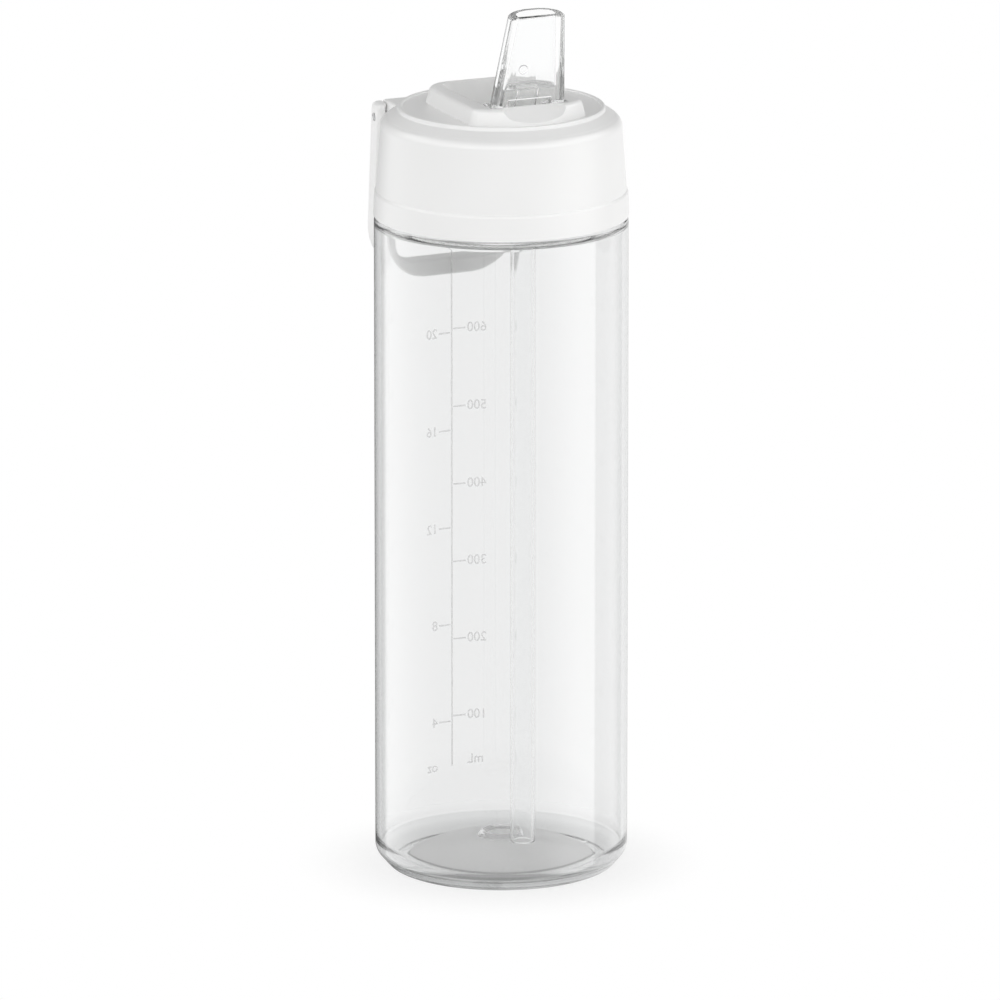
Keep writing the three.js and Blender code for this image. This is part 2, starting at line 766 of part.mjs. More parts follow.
// Finishes
const finishes = {
  clear: { color: 0xe9eef0, roughness: 0.06, metalness: 0, transparent: true, opacity: 0.35 },
  white: { color: 0xf1f1f0, roughness: 0.42, metalness: 0 },
  inner: { color: 0xe4e5e4, roughness: 0.5, metalness: 0 },
  silicone: { color: 0xd9dbda, roughness: 0.7, metalness: 0 },
  steel: { color: 0xa7a9ab, roughness: 0.32, metalness: 1 },
};

function piece(name, manifold, finish, place = {}) {
  const mesh = new THREE.Mesh(surface(manifold), new THREE.MeshStandardMaterial(finishes[finish]));
  mesh.name = name;
  mesh.position.set(0, place.y ?? 0, place.z ?? 0);
  mesh.rotation.x = THREE.MathUtils.degToRad(place.tilt ?? 0);
  return mesh;
}

const loopPlace = { y: loopPinY, z: loopPinHeight };
const lid = new THREE.Group();
lid.add(
  piece("lid_shell", makeLidShell(), "white"),
  piece("lid_core", makeLidCore(), "inner"),
  piece("lid_gasket", makeGasket(), "silicone"),
  piece("spout", makeSpout(), "clear", { y: pivotY, z: pivotHeight, tilt: spoutLean }),
  piece("spout_seal", makeSpoutSeal(), "silicone"),
  piece("vent_valve", makeVentValve(), "silicone"),
  piece("straw", makeStraw(), "clear", { y: pivotY }),
  piece("carry_loop", makeCarryLoop(), "white", { ...loopPlace, tilt: loopLean }),
  piece("carry_pin_left", makeCarryPin(-1), "steel", loopPlace),
  piece("carry_pin_right", makeCarryPin(1), "steel", loopPlace),
);

// The origin is under the middle of the footprint, between the bottle's front and the loop's back
const leanAngle = THREE.MathUtils.degToRad(loopLean);
const backReach = loopPinY + loopDrop * Math.sin(leanAngle) + loopThickness / 2 * Math.cos(leanAngle);
const assembly = new THREE.Group();
assembly.add(piece("bottle_body", makeBottle(), "clear"), lid);
assembly.position.y = (lidBottomRadius - backReach) / 2;

export default assembly;
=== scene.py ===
import json
import math

import bmesh
import bpy
from mathutils import Matrix, Vector


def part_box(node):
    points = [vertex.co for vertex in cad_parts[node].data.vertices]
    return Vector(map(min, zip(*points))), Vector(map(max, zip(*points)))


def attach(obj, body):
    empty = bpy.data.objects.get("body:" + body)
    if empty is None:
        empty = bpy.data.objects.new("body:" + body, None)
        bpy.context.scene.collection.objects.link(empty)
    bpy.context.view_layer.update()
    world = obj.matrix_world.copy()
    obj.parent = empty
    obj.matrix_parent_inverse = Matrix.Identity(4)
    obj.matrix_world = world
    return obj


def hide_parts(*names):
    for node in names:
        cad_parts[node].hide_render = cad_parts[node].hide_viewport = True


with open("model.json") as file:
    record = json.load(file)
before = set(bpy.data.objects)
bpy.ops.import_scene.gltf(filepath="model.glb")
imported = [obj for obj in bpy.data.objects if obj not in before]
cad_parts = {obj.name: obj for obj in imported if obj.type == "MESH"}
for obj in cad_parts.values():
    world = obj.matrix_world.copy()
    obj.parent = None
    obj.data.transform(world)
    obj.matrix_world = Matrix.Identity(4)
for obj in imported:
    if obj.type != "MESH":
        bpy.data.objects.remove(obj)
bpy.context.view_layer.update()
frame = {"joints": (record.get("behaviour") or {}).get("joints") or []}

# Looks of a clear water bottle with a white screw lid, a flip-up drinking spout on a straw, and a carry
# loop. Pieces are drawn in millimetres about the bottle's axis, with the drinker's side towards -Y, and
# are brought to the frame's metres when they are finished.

# Frame
MM = 0.001
bottle_low, bottle_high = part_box("bottle_body")
TO_FRAME = Matrix.Translation((0, (bottle_low.y + bottle_high.y) / 2, 0)) @ Matrix.Scale(MM, 4)
FROM_FRAME = TO_FRAME.inverted()


def node_box(name):
    """Lowest and highest corner of a CAD node, in millimetres about the bottle's axis."""
    return [FROM_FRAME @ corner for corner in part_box(name)]


def joint_centre(name):
    """A point on a joint's axis, in millimetres about the bottle's axis."""
    joint = next(joint for joint in frame["joints"] if joint["name"] == name)
    return FROM_FRAME @ Vector(joint["pos_m"])


# How finely round shapes are drawn, how close points merge, and what counts as sharp or as facing an axis
ROUND_STEPS = 160
SMALL_STEPS = 48
ARC_STEPS = 5
EDGE_STEPS = 3
SAME_POINT = 0.001
SHARP_ANGLE = math.radians(34)
FACING = 0.9
FULL_TURN = 2 * math.pi

# Clearances, how far a cutting shape runs past what it cuts, and a round end's share of a half width
SEAT_GAP = 0.3
PIVOT_GAP = 0.15
SWING_GAP = 0.4
OVERCUT = 1.0
TALL_OVERCUT = 8.0
ROUND_END = 0.98

# Bottle
BOTTLE_RADIUS = node_box("bottle_body")[1].x
RIM_HEIGHT = node_box("bottle_body")[1].z
BOTTLE_WALL = 1.75
INNER_RADIUS = BOTTLE_RADIUS - BOTTLE_WALL
FOOT_RADIUS = BOTTLE_RADIUS - 4.4
FOOT_INNER = FOOT_RADIUS - 5.1
FOOT_INNER_ROUNDING = 0.6
CHAMFER_HEIGHT = 5.1
BASE_ROUNDING = 1.4
FLOOR_THICKNESS = 1.6
FLOOR_ROUNDING = 2.8
FLOOR_CENTRE = 9.0
FLOOR_DISC_RADIUS = FOOT_INNER - 0.8
FLOOR_DISC_HEIGHT = 2.4
FLOOR_DISC_STEP = 0.6
FLOOR_RISE = FLOOR_CENTRE - FLOOR_DISC_HEIGHT
FLOOR_DOME = (FLOOR_DISC_RADIUS ** 2 + FLOOR_RISE ** 2) / (2 * FLOOR_RISE)
DOME_STEPS = 12
FROSTING = 0.1
GATE_RADIUS = 6.0
GATE_RING = 0.8
GATE_HEIGHT = 1.1
GATE_FOOT = GATE_RADIUS + GATE_HEIGHT
GATE_INNER = GATE_RADIUS - GATE_RING - GATE_HEIGHT
NECK_LENGTH = 17.0
NECK_RADIUS = BOTTLE_RADIUS - 7.0
NECK_INNER = NECK_RADIUS - 2.2
NECK_ROOT_ROUNDING = 4.0
SHOULDER_TOP = RIM_HEIGHT - NECK_LENGTH
SHOULDER_ROUNDING = 1.4
SHOULDER_WALL = 1.2
RIM_ROUNDING = 0.8

# Screw thread on the neck and in the lid's core
THREAD_PITCH = 4.0
THREAD_TURNS = 1.25
THREAD_HEIGHT = 0.9
THREAD_BITE = 0.4
THREAD_ROOT_HALF = 1.0
THREAD_CREST_HALF = 0.4
THREAD_BELOW_RIM = 3.2
THREAD_MIDDLE = RIM_HEIGHT - THREAD_BELOW_RIM - THREAD_PITCH * THREAD_TURNS / 2 - THREAD_ROOT_HALF

# Scale moulded on the back of the wall: first mark, spacing and step of each unit
MILLILITRE_SCALE = {"unit": "mL", "side": 1, "step": 100, "count": 6, "first": 36.2, "spacing": 24.2}
OUNCE_SCALE = {"unit": "oz", "side": -1, "step": 4, "count": 5, "first": 34.6, "spacing": 30.35}
UNIT_BELOW_FIRST = 14.0
SCALE_PROUD = 0.18
SCALE_SUNK = 0.06
SCALE_RELIEF = SCALE_SUNK + SCALE_PROUD
SCALE_LINE_WIDTH = 0.42
SCALE_LINE_BOTTOM = 20.5
SCALE_LINE_TOP = SHOULDER_TOP - 4.5
TICK_START = 0.5
TICK_LENGTH = 4.1
TICK_CUTS = 4
FIGURE_SIZE = 4.2
FIGURE_GAP = 0.5

# Straw, gasket and lid core
STRAW_LOW, STRAW_HIGH = node_box("straw")
STRAW_RADIUS = STRAW_HIGH.x
STRAW_WALL = 1.0
STRAW_EDGE = 0.25
GASKET_LOW, GASKET_HIGH = node_box("lid_gasket")
GASKET_INNER = NECK_INNER - 0.5
GASKET_EDGE = 0.5
CORE_LOW, CORE_HIGH = node_box("lid_core")
CORE_INNER = NECK_RADIUS + 1.5
CORE_DECK = 2.0
CORE_CEILING = CORE_HIGH.z - CORE_DECK
CORE_LAND = GASKET_HIGH.z + SEAT_GAP
CORE_LAND_WIDTH = 4.5
CORE_LAND_TAPER = 1.0
CORE_EDGE = 0.5
CORE_GRIP = 0.4
NIPPLE_LENGTH = 11.0
NIPPLE_WALL = 0.9
VENT_HOLE_RADIUS = 2.0

# Lid shell
LID_LOW, LID_HIGH = node_box("lid_shell")
DAIS_TOP = LID_HIGH.z
DECK_TOP = DAIS_TOP - 4.8
LID_BOTTOM = LID_LOW.z
LID_RADIUS = BOTTLE_RADIUS + 0.2
BAND_TOP = LID_BOTTOM + 7.4
BAND_TOP_RADIUS = LID_RADIUS - 0.3
BAND_STEP = 0.5
SHELL_WALL = 1.8
CONE_TOP = DECK_TOP - 3.8
CONE_BOTTOM_RADIUS = BAND_TOP_RADIUS - BAND_STEP
CONE_TOP_RADIUS = CORE_INNER + 1.35 + SEAT_GAP + SHELL_WALL
CONE_ROUNDING = 1.6
BEAD_RADIUS = CONE_TOP_RADIUS - 5.6
BEAD_WIDTH = 1.4
BEAD_HEIGHT = 0.6
BEAD_ROUNDING = 0.45
DECK_THICKNESS = 2.5
INNER_TOP = DECK_TOP - DECK_THICKNESS

# Spout
SPOUT_PIVOT = joint_centre("spout_flip")
SPOUT_LENGTH = 33.4
SPOUT_LEAN = math.radians(14.3)
SPOUT_BASE = Vector((12.2, 3.9))
SPOUT_TIP = Vector((8.8, 3.25))
SPOUT_FRONT_ROUNDING = 1.2
SPOUT_BACK_SHARE = Vector((0.5, 0.1))
SPOUT_BACK_ROUNDING = Vector((3.6, 2.4))
SPOUT_LIP = 0.75
SPOUT_WALL = Vector((2.7, 1.2))
CHANNEL_FLOOR = 9.5
BARREL_RADIUS = 4.2
BARREL_EDGE = 0.4
BARREL_HALF_LENGTH = SPOUT_BASE.x - 0.02
TRUNNION_RADIUS = 1.9
TRUNNION_LENGTH = 3.0
NOTCH_HALF_WIDTH = 7.0
NOTCH_DEPTH = 2.0
NOTCH_TOP = 6.8
NUB_RADIUS = 1.5
NUB_HEIGHT = 0.8
NUB_FROM_PIVOT = 13.2
SLOT_HALF = Vector((3.5, 0.9))

# Dais and recess
DAIS_FRONT_RADIUS = BEAD_RADIUS - 4.0
DAIS_DRAFT = 1.6
DAIS_EDGE = 1.2
DAIS_CORNER = 5.0
DAIS_STEPS = 12
RECESS_HALF_WIDTH = SPOUT_BASE.x + 1.0
RECESS_START = SPOUT_PIVOT.y + 1.2
RECESS_BACK = SPOUT_PIVOT.y + SPOUT_LENGTH + 0.8
RECESS_ROUNDING = 6.0
RECESS_FLOOR = SPOUT_PIVOT.z - 6.4
RECESS_EDGE = 0.5
DAIS_HALF_WIDTH = RECESS_HALF_WIDTH + 4.4
DAIS_BACK = RECESS_BACK + 1.9
DAIS_BACK_ROUNDING = 9.0
DAIS_BACK_TAPER = 1.2
CRADLE_HALF_WIDTH = SPOUT_BASE.x + SWING_GAP
SOCKET_DEPTH = CRADLE_HALF_WIDTH + TRUNNION_LENGTH
SPOUT_FRONT = SPOUT_BASE.y / math.cos(SPOUT_LEAN) + (DAIS_TOP - SPOUT_PIVOT.z) * math.tan(SPOUT_LEAN)
CRADLE_FRONT = SPOUT_PIVOT.y - SPOUT_FRONT - SEAT_GAP
MOUTH_CHAMFER = 1.6
RAMP_HALF_WIDTH = 10.9
RAMP_SIDE_ROUNDING = 3.4
RAMP_OVERCUT = 4.0
POCKET_BOTTOM = CORE_HIGH.z + SEAT_GAP
POCKET_WALL = 1.8
DETENT_RADIUS = 1.5
DETENT_LENGTH = 2.3
DETENT_FROM_PIVOT = 17.2
DETENT_ROUNDING = 0.95 * DETENT_RADIUS
DETENT_EDGE = 0.8

# Silicone seal under the spout and vent valve in the recess
SEAL_LOW, SEAL_HIGH = node_box("spout_seal")
SEAL_WALL = 1.0
SEAL_FORWARD = 1.1
SEAL_FLANGE = 0.9
SEAL_FLANGE_HEIGHT = 1.0
VENT_LOW, VENT_HIGH = node_box("vent_valve")
VENT_Y = (VENT_LOW.y + VENT_HIGH.y) / 2
VENT_STEM = 2.4
VENT_FLANGE = VENT_HIGH.x
VENT_FLANGE_THICKNESS = 0.7
VENT_SKIN = 0.6

# Carry loop, its pins and the lug that they sit in
LOOP_PIN = joint_centre("loop_swing")
LOOP_HALF_WIDTH = node_box("carry_loop")[1].x
LOOP_THICKNESS = 5.4
LOOP_EDGE = 1.1
LOOP_ARM_TOP = 3.0
LOOP_ARM_LOW = 4.6
LOOP_ARM_STRAIGHT = 13.8
LOOP_ARM_SPLAY = 9.0
LOOP_DROP = 51.0
LOOP_BOW = 5.5
LOOP_OUTER_ROUNDING = 17.0
LOOP_INNER_ROUNDING = 6.5
LOOP_KNUCKLE = 4.4
LOOP_KNUCKLE_ROUNDING = 1.8
LOOP_LEAN = math.radians(4.9)
PIN_RADIUS = 1.2
PIN_BITE = 4.0
PIN_EDGE = 0.25
LUG_HALF_WIDTH = LOOP_HALF_WIDTH - LOOP_ARM_TOP - SEAT_GAP
LUG_TOP = LOOP_PIN.z + 5.1
LUG_LOW = LOOP_PIN.z - 3.4
LUG_FOOT = LUG_LOW - 10.0
LUG_BACK = LOOP_PIN.y + 2.2
LUG_ROUNDING = 2.4
LUG_EDGE = 0.7

# Camera at the photograph's angle, and how often light may bounce
CAMERA_TARGET = Vector((-0.4, 0, 112.43))
CAMERA_AZIMUTH = math.radians(-24)
CAMERA_ELEVATION = math.radians(14.204)
CAMERA_DISTANCE = 3.7255
CAMERA_LENS = 447.27
CAMERA_SENSOR = 36.0
MAX_BOUNCES = 24
GLOSSY_BOUNCES = 16

# Ground: half width in metres, matt colour, distances from the bottle's axis between which a white glow
# takes over, and the glow's share under the bottle, with more of it to the camera. The lower glow near the
# bottle is painted shade
GROUND_HALF = 4.0
GROUND_COLOUR = (0.8, 0.8, 0.8, 1)
GROUND_BRIGHTENS = (34.0, 65.0)
GROUND_GLOW = 0.6
GROUND_GLOW_SEEN = 0.2

# Studio lamp: bearing and elevation from the camera, in degrees, and sizes in metres
LAMP_BEARING = 42
LAMP_ELEVATION = 10
LAMP_DISTANCE = 1.1
LAMP_TARGET = Vector((0, 0, 0.15))
LAMP_SIZE = (0.6, 0.9)
LAMP_WATTS = 1.4

# Screens round the studio, seen in reflections: the bearings between which each rises and falls, in
# degrees from the camera to the right, and its strength
WHITE_LIGHT = (1, 1, 1, 1)
RIGHT_SCREEN = (25, 80, 93, 97)
RIGHT_STRENGTH = 2.0
LEFT_SCREEN = (-136, -128, -115, -50)
LEFT_STRENGTH = 1.3
BACK_RIGHT = (97, 130)
BACK_RIGHT_STRENGTH = 0.65
BACK_LEFT = (-150, -138)
BACK_LEFT_SHADE = 0.2
BEHIND = (168, 180)
BEHIND_STRENGTH = 0.45
BETWEEN_SCREENS = 0.26

# Overhead screen in front, by the height of a direction, and the soft light on matt surfaces
HORIZON = (0.0, 0.12)
OVERHEAD_REACH = (105, 135)
OVERHEAD_SCREEN = (0.15, 0.32, 0.55, 0.95)
OVERHEAD_STRENGTH = 4.4
ROOM_STRENGTH = 0.12
SOFT_FADE = (0.75, 1.0)
SOFT_LOW = 0.97
SOFT_TOP = 0.22


# Drawing and shaping

def from_front(y):
    """Places an outline (x, z) upright, as seen from the front."""
    return lambda x, z: (x, y, z)


def spaced(start, end, steps):
    """Values at even steps from start to end."""
    return [start + (end - start) * step / steps for step in range(steps + 1)]


def outline(corners, place, closed=True):
    """A wire through corners (u, v) or (u, v, rounding), set out in space by place(u, v)."""
    bm = bmesh.new()
    points = [bm.verts.new(place(corner[0], corner[1])) for corner in corners]
    for one, other in zip(points, points[1:]):
        bm.edges.new((one, other))
    if closed:
        bm.edges.new((points[-1], points[0]))
    for point, corner in zip(points, corners):
        if len(corner) > 2:
            steps = max(ARC_STEPS, round(corner[2]))
            bmesh.ops.bevel(bm, geom=[point], offset=corner[2], offset_type="OFFSET", affect="VERTICES",
                            segments=steps, profile=0.5, material=-1, clamp_overlap=False)
    return bm


def turned(corners, steps=ROUND_STEPS, y=0.0, closed=False):
    """A profile (radius, height) turned about an upright line, from axis to axis or closed on itself."""
    bm = outline(corners, from_front(0), closed)
    bmesh.ops.spin(bm, geom=bm.verts[:] + bm.edges[:], cent=(0, 0, 0), axis=(0, 0, 1), dvec=(0, 0, 0),
                   angle=FULL_TURN, steps=steps, use_merge=True, use_duplicate=False)
    bmesh.ops.remove_doubles(bm, verts=bm.verts, dist=SAME_POINT)
    bmesh.ops.recalc_face_normals(bm, faces=bm.faces)
    bmesh.ops.translate(bm, verts=bm.verts, vec=(0, y, 0))
    return bm


def ring(inner, outer, low, high, edge, steps=ROUND_STEPS, y=0.0):
    """A tube between two radii and two heights, with eased edges."""
    corners = [(inner, low, edge), (outer, low, edge), (outer, high, edge), (inner, high, edge)]
    return turned(corners, steps, y, closed=True)


def extruded(bm, faces, along):
    """Faces drawn out along a vector; gives the vertices of the drawn-out end."""
    end = bmesh.ops.extrude_face_region(bm, geom=faces)["geom"]
    points = [part for part in end if isinstance(part, bmesh.types.BMVert)]
    bmesh.ops.translate(bm, verts=points, vec=along)
    return points


def prism(corners, place, along, end_scale=(1, 1, 1)):
    """A closed outline drawn out along a vector, with its far end scaled about the origin."""
    bm = outline(corners, place)
    face = bmesh.ops.contextual_create(bm, geom=bm.edges[:])["faces"]
    points = extruded(bm, face, along)
    bmesh.ops.scale(bm, vec=end_scale, verts=points)
    bmesh.ops.recalc_face_normals(bm, faces=bm.faces)
    return bm


def raised(corners, bottom, top, end_scale=(1, 1, 1)):
    """An outline (x, y) drawn up from one height to another, with its top scaled about the Z axis."""
    return prism(corners, lambda x, y: (x, y, bottom), (0, 0, top - bottom), end_scale)


def widened(corners, half_width):
    """An outline (y, z) drawn out to both sides of the middle."""
    return prism(corners, lambda y, z: (-half_width, y, z), (2 * half_width, 0, 0))


def rod(radius, start, end, steps=SMALL_STEPS):
    """A round bar between two points."""
    start, end = Vector(start), Vector(end)
    turn = (end - start).to_track_quat("Z", "Y").to_matrix().to_4x4()
    bm = bmesh.new()
    bmesh.ops.create_cone(bm, cap_ends=True, segments=steps, radius1=radius, radius2=radius,
                          depth=(end - start).length, matrix=Matrix.Translation((start + end) / 2) @ turn)
    return bm


def crossbar(radius, reach, centre=Vector((0, 0, 0))):
    """A round bar that reaches to both sides of a centre."""
    side = Vector((reach, 0, 0))
    return rod(radius, centre - side, centre + side)


def mirrored(corners):
    """The same corners on the other side of the middle, in reverse order."""
    return [(-u, v, *rounding) for u, v, *rounding in reversed(corners)]


def arc_points(centre, radius, start, end, steps):
    """Points (x, y) along an arc, with its angles measured from -Y towards +X."""
    angles = spaced(start, end, steps)
    return [(centre[0] + radius * math.sin(a), centre[1] - radius * math.cos(a)) for a in angles]


def round_ended(half):
    """Corners of a bar with round ends about the origin, from its half length and half width."""
    return [(u * half.x, v * half.y, ROUND_END * half.y) for u, v in ((-1, -1), (1, -1), (1, 1), (-1, 1))]


def sharp_edges(bm, height=None):
    """Edges that turn sharply, all of them or those at one height."""
    found = [edge for edge in bm.edges if edge.is_manifold and edge.calc_face_angle() > SHARP_ANGLE]
    if height is None:
        return found
    return [edge for edge in found if all(abs(point.co.z - height) < SAME_POINT for point in edge.verts)]


def eased(bm, edges, width, steps=EDGE_STEPS):
    """The shape with a rounding along some edges."""
    bmesh.ops.bevel(bm, geom=edges, offset=width, offset_type="OFFSET", affect="EDGES", segments=steps,
                    profile=0.5, material=-1, clamp_overlap=True)
    return bm


def rounded_off(bm, face, width, steps=ARC_STEPS):
    """A flat face drawn out by width with a quarter-round; edges at sharp corners are longer than width."""
    angles = spaced(0, math.pi / 2, steps)
    for low, high in zip(angles, angles[1:]):
        bmesh.ops.inset_region(bm, faces=[face], thickness=width * (math.cos(low) - math.cos(high)),
                               depth=width * (math.sin(high) - math.sin(low)), use_even_offset=True)


def as_mesh(bm, name):
    """A mesh of a shape, which is used up."""
    mesh = bpy.data.meshes.new(name)
    bm.to_mesh(mesh)
    bm.free()
    return mesh


def in_scene(name, data):
    """A new object in the scene."""
    made = bpy.data.objects.new(name, data)
    bpy.context.scene.collection.objects.link(made)
    return made


def shape_of(source):
    """An object's shape after its modifiers, with its close points merged."""
    graph = bpy.context.evaluated_depsgraph_get()
    mesh = bpy.data.meshes.new_from_object(source.evaluated_get(graph))
    bm = bmesh.new()
    bm.from_mesh(mesh)
    bpy.data.meshes.remove(mesh)
    bmesh.ops.remove_doubles(bm, verts=bm.verts, dist=SAME_POINT)
    return bm


def carved(bm, *steps):
    """The shape after each step: an operation (UNION or DIFFERENCE) and the shape it uses."""
    blank = in_scene("blank", as_mesh(bm, "blank"))
    used = [blank]
    for operation, tool in steps:
        used.append(in_scene("tool", as_mesh(tool, "tool")))
        cut = blank.modifiers.new("cut", "BOOLEAN")
        cut.operation = operation
        cut.solver = "EXACT"
        cut.object = used[-1]
    result = shape_of(blank)
    for passing in used:
        bpy.data.meshes.remove(passing.data)
    return result


def together(parts):
    """Several shapes in one, side by side."""
    whole = bmesh.new()
    for part in parts:
        mesh = as_mesh(part, "part")
        whole.from_mesh(mesh)
        bpy.data.meshes.remove(mesh)
    return whole


def placed(bm, where, tilt=0.0):
    """The shape tilted about X at its own origin and moved to a place."""
    move = Matrix.Translation(where) @ Matrix.Rotation(tilt, 4, "X")
    bmesh.ops.transform(bm, matrix=move, verts=bm.verts)
    return bm


def finished(bm, name, body, finish, node=None):
    """A piece in the frame, with its finish, riding on a body and standing for a CAD node."""
    bmesh.ops.transform(bm, matrix=TO_FRAME, verts=bm.verts)
    mesh = as_mesh(bm, name)
    mesh.shade_smooth()
    mesh.set_sharp_from_angle(angle=SHARP_ANGLE)
    mesh.materials.append(finish)
    piece = in_scene(name, mesh)
    shading = piece.modifiers.new("even_shading", "WEIGHTED_NORMAL")
    shading.keep_sharp = True
    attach(piece, body)
    if node:
        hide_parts(node)


# Finishes

# Grey tint of clear plastic, partly the plastic's own tint and partly painted shade on the edges of walls:
# where it starts and is full as the eye looks along a wall, and its share at the foot, where it is painted
# shade
EDGE_VIEW = (0.58, 0.84)
BASE_PAINTED_SHADE = 0.9


class Signal:
    """A node's output. Arithmetic on it adds Math nodes beside it."""

    def __init__(self, nodes, socket):
        self.nodes = nodes
        self.socket = socket

    def math(self, operation, *values):
        return self.nodes.add("ShaderNodeMath", {"operation": operation}, dict(enumerate(values)))

    def __add__(self, other):
        return self.math("ADD", self, other)

    def __sub__(self, other):
        return self.math("SUBTRACT", self, other)

    def __rsub__(self, other):
        return self.math("SUBTRACT", other, self)

    def __mul__(self, other):
        return self.math("MULTIPLY", self, other)

    def __truediv__(self, other):
        return self.math("DIVIDE", self, other)

    def __pow__(self, other):
        return self.math("POWER", self, other)

    __radd__ = __add__
    __rmul__ = __mul__

    def larger(self, other):
        return self.math("MAXIMUM", self, other)

    def absolute(self):
        return self.math("ABSOLUTE", self)

    def rise(self, start, end, low=0.0, high=1.0):
        """A smooth step from low at start to high at end."""
        sockets = {"Value": self, "From Min": start, "From Max": end, "To Min": low, "To Max": high}
        return self.nodes.add("ShaderNodeMapRange", {"interpolation_type": "SMOOTHSTEP"}, sockets)

    def fall(self, start, end):
        """A smooth step down, from 1 at start to 0 at end."""
        return self.rise(start, end, 1, 0)

    def window(self, start, full, fade, end):
        """A rise from start to full, and a fall from fade to end."""
        return self.rise(start, full) * self.fall(fade, end)


class Nodes:
    """The nodes of one material or world."""

    def __init__(self, owner):
        owner.use_nodes = True
        self.tree = owner.node_tree
        self.tree.nodes.clear()

    def add(self, kind, settings=None, sockets=None, give=0):
        """Adds a node, with its settings first and then its sockets' values or links; gives one output."""
        node = self.tree.nodes.new(kind)
        for key, value in (settings or {}).items():
            setattr(node, key, value)
        for key, value in (sockets or {}).items():
            if isinstance(value, Signal):
                self.tree.links.new(value.socket, node.inputs[key])
            else:
                node.inputs[key].default_value = value
        return Signal(self, node.outputs[give]) if node.outputs else None

    def place(self):
        return self.add("ShaderNodeTexCoord", give="Object")

    def along(self, vector, axis):
        """One coordinate of a vector."""
        return self.add("ShaderNodeSeparateXYZ", {}, {"Vector": vector}, give=axis)

    def from_bottle_axis(self):
        """Distance from the bottle's axis, in millimetres."""
        x = self.along(self.place(), "X") / MM
        y = self.along(self.place(), "Y") / MM - TO_FRAME.translation.y / MM
        return (x * x + y * y) ** 0.5

    def light_path(self, kind):
        return self.add("ShaderNodeLightPath", give=kind)

    def noise(self, size, detail=2.0, stretch=(1, 1, 1)):
        """Noise whose features are about size millimetres across, stretched along the axes."""
        scale = tuple(1 / (size * MM * length) for length in stretch)
        place = self.add("ShaderNodeMapping", {}, {"Vector": self.place(), "Scale": scale})
        return self.add("ShaderNodeTexNoise", {}, {"Vector": place, "Scale": 1.0, "Detail": detail})

    def mixed(self, share, one, other):
        """A colour between two colours."""
        sockets = {0: share, 6: (*one, 1), 7: (*other, 1)}
        return self.add("ShaderNodeMix", {"data_type": "RGBA"}, sockets, give=2)

    def bump(self, height, depth, strength):
        """A normal for a surface with that height, whose relief is depth millimetres."""
        sockets = {"Height": height, "Distance": depth * MM, "Strength": strength}
        return self.add("ShaderNodeBump", {}, sockets)

    def show(self, shader, kind="Material"):
        self.add(f"ShaderNodeOutput{kind}", {}, {"Surface": shader})


def new_finish(name):
    material = bpy.data.materials.new(name)
    return material, Nodes(material)


def moulded_plastic(name, colour, roughness):
    """White moulded plastic: a fine satin grain, with faint clouds in its tone and gloss."""
    material, nodes = new_finish(name)
    grain = nodes.noise(0.35, detail=3.0)
    cloud = nodes.noise(22.0)
    dim = [0.965 * part for part in colour]
    nodes.show(nodes.add("ShaderNodeBsdfPrincipled", {}, {
        "Base Color": nodes.mixed(cloud, dim, colour),
        "Roughness": roughness + (grain - 0.5) * 0.12 + (cloud - 0.5) * 0.1,
        "Normal": nodes.bump(grain, 0.012, 0.35),
        "IOR": 1.49,
    }))
    return material


def bottle_tint_and_shade(nodes, depth):
    """The grey tint's share on the bottle: none on the floor, and more on the foot and the base's chamfer,
    where it is painted shade.
    """
    height = nodes.along(nodes.place(), "Z") / MM
    from_foot = nodes.from_bottle_axis() - height * ((BOTTLE_RADIUS - FOOT_RADIUS) / CHAMFER_HEIGHT)
    # Painted shade: the base's chamfer and the foot's lowest part take the grey, by height
    outside = from_foot.rise(FOOT_RADIUS - BOTTLE_WALL / 2, FOOT_RADIUS - BOTTLE_WALL / 4)
    chamfer = outside * height.rise(CHAMFER_HEIGHT, CHAMFER_HEIGHT + BASE_ROUNDING / 2, BASE_PAINTED_SHADE, 0.0)
    foot = height.rise(FLOOR_THICKNESS / 2, FLOOR_THICKNESS - FROSTING, BASE_PAINTED_SHADE, 0.0)
    wall = depth * height.rise(CHAMFER_HEIGHT, FLOOR_CENTRE + GATE_HEIGHT)
    return wall.larger(foot).larger(chamfer)


def clear_plastic(name, tint, edge_tint_and_shade, roughness, shadow_tint, tint_and_shade_share=None):
    """Clear plastic: slightly wavy, with a grey tint where the eye looks along the wall, partly its own tint
    and partly painted shade that darkens the wall's edges.
    """
    material, nodes = new_finish(name)
    wave = nodes.noise(9.0, stretch=(1, 1, 4))
    scuff = nodes.noise(1.2, detail=4.0)
    facing = nodes.add("ShaderNodeLayerWeight", {}, {"Blend": 0.5}, give="Facing")
    # Share of the edge tint, partly painted shade, growing as the eye looks along the wall
    depth = facing.rise(*EDGE_VIEW)
    if tint_and_shade_share:
        depth = tint_and_shade_share(nodes, depth)
    clear = nodes.add("ShaderNodeBsdfPrincipled", {}, {
        "Base Color": nodes.mixed(depth, tint, edge_tint_and_shade),
        "Roughness": roughness * (0.6 + 0.8 * scuff),
        "Normal": nodes.bump(wave, 0.02, 0.25),
        "Transmission Weight": 1.0,
        "IOR": 1.5,
    })
    passing = nodes.add("ShaderNodeBsdfTransparent", {}, {"Color": (*shadow_tint, 1)})
    shadow = nodes.light_path("Is Shadow Ray")
    nodes.show(nodes.add("ShaderNodeMixShader", {}, {0: shadow, 1: clear, 2: passing}))
    return material


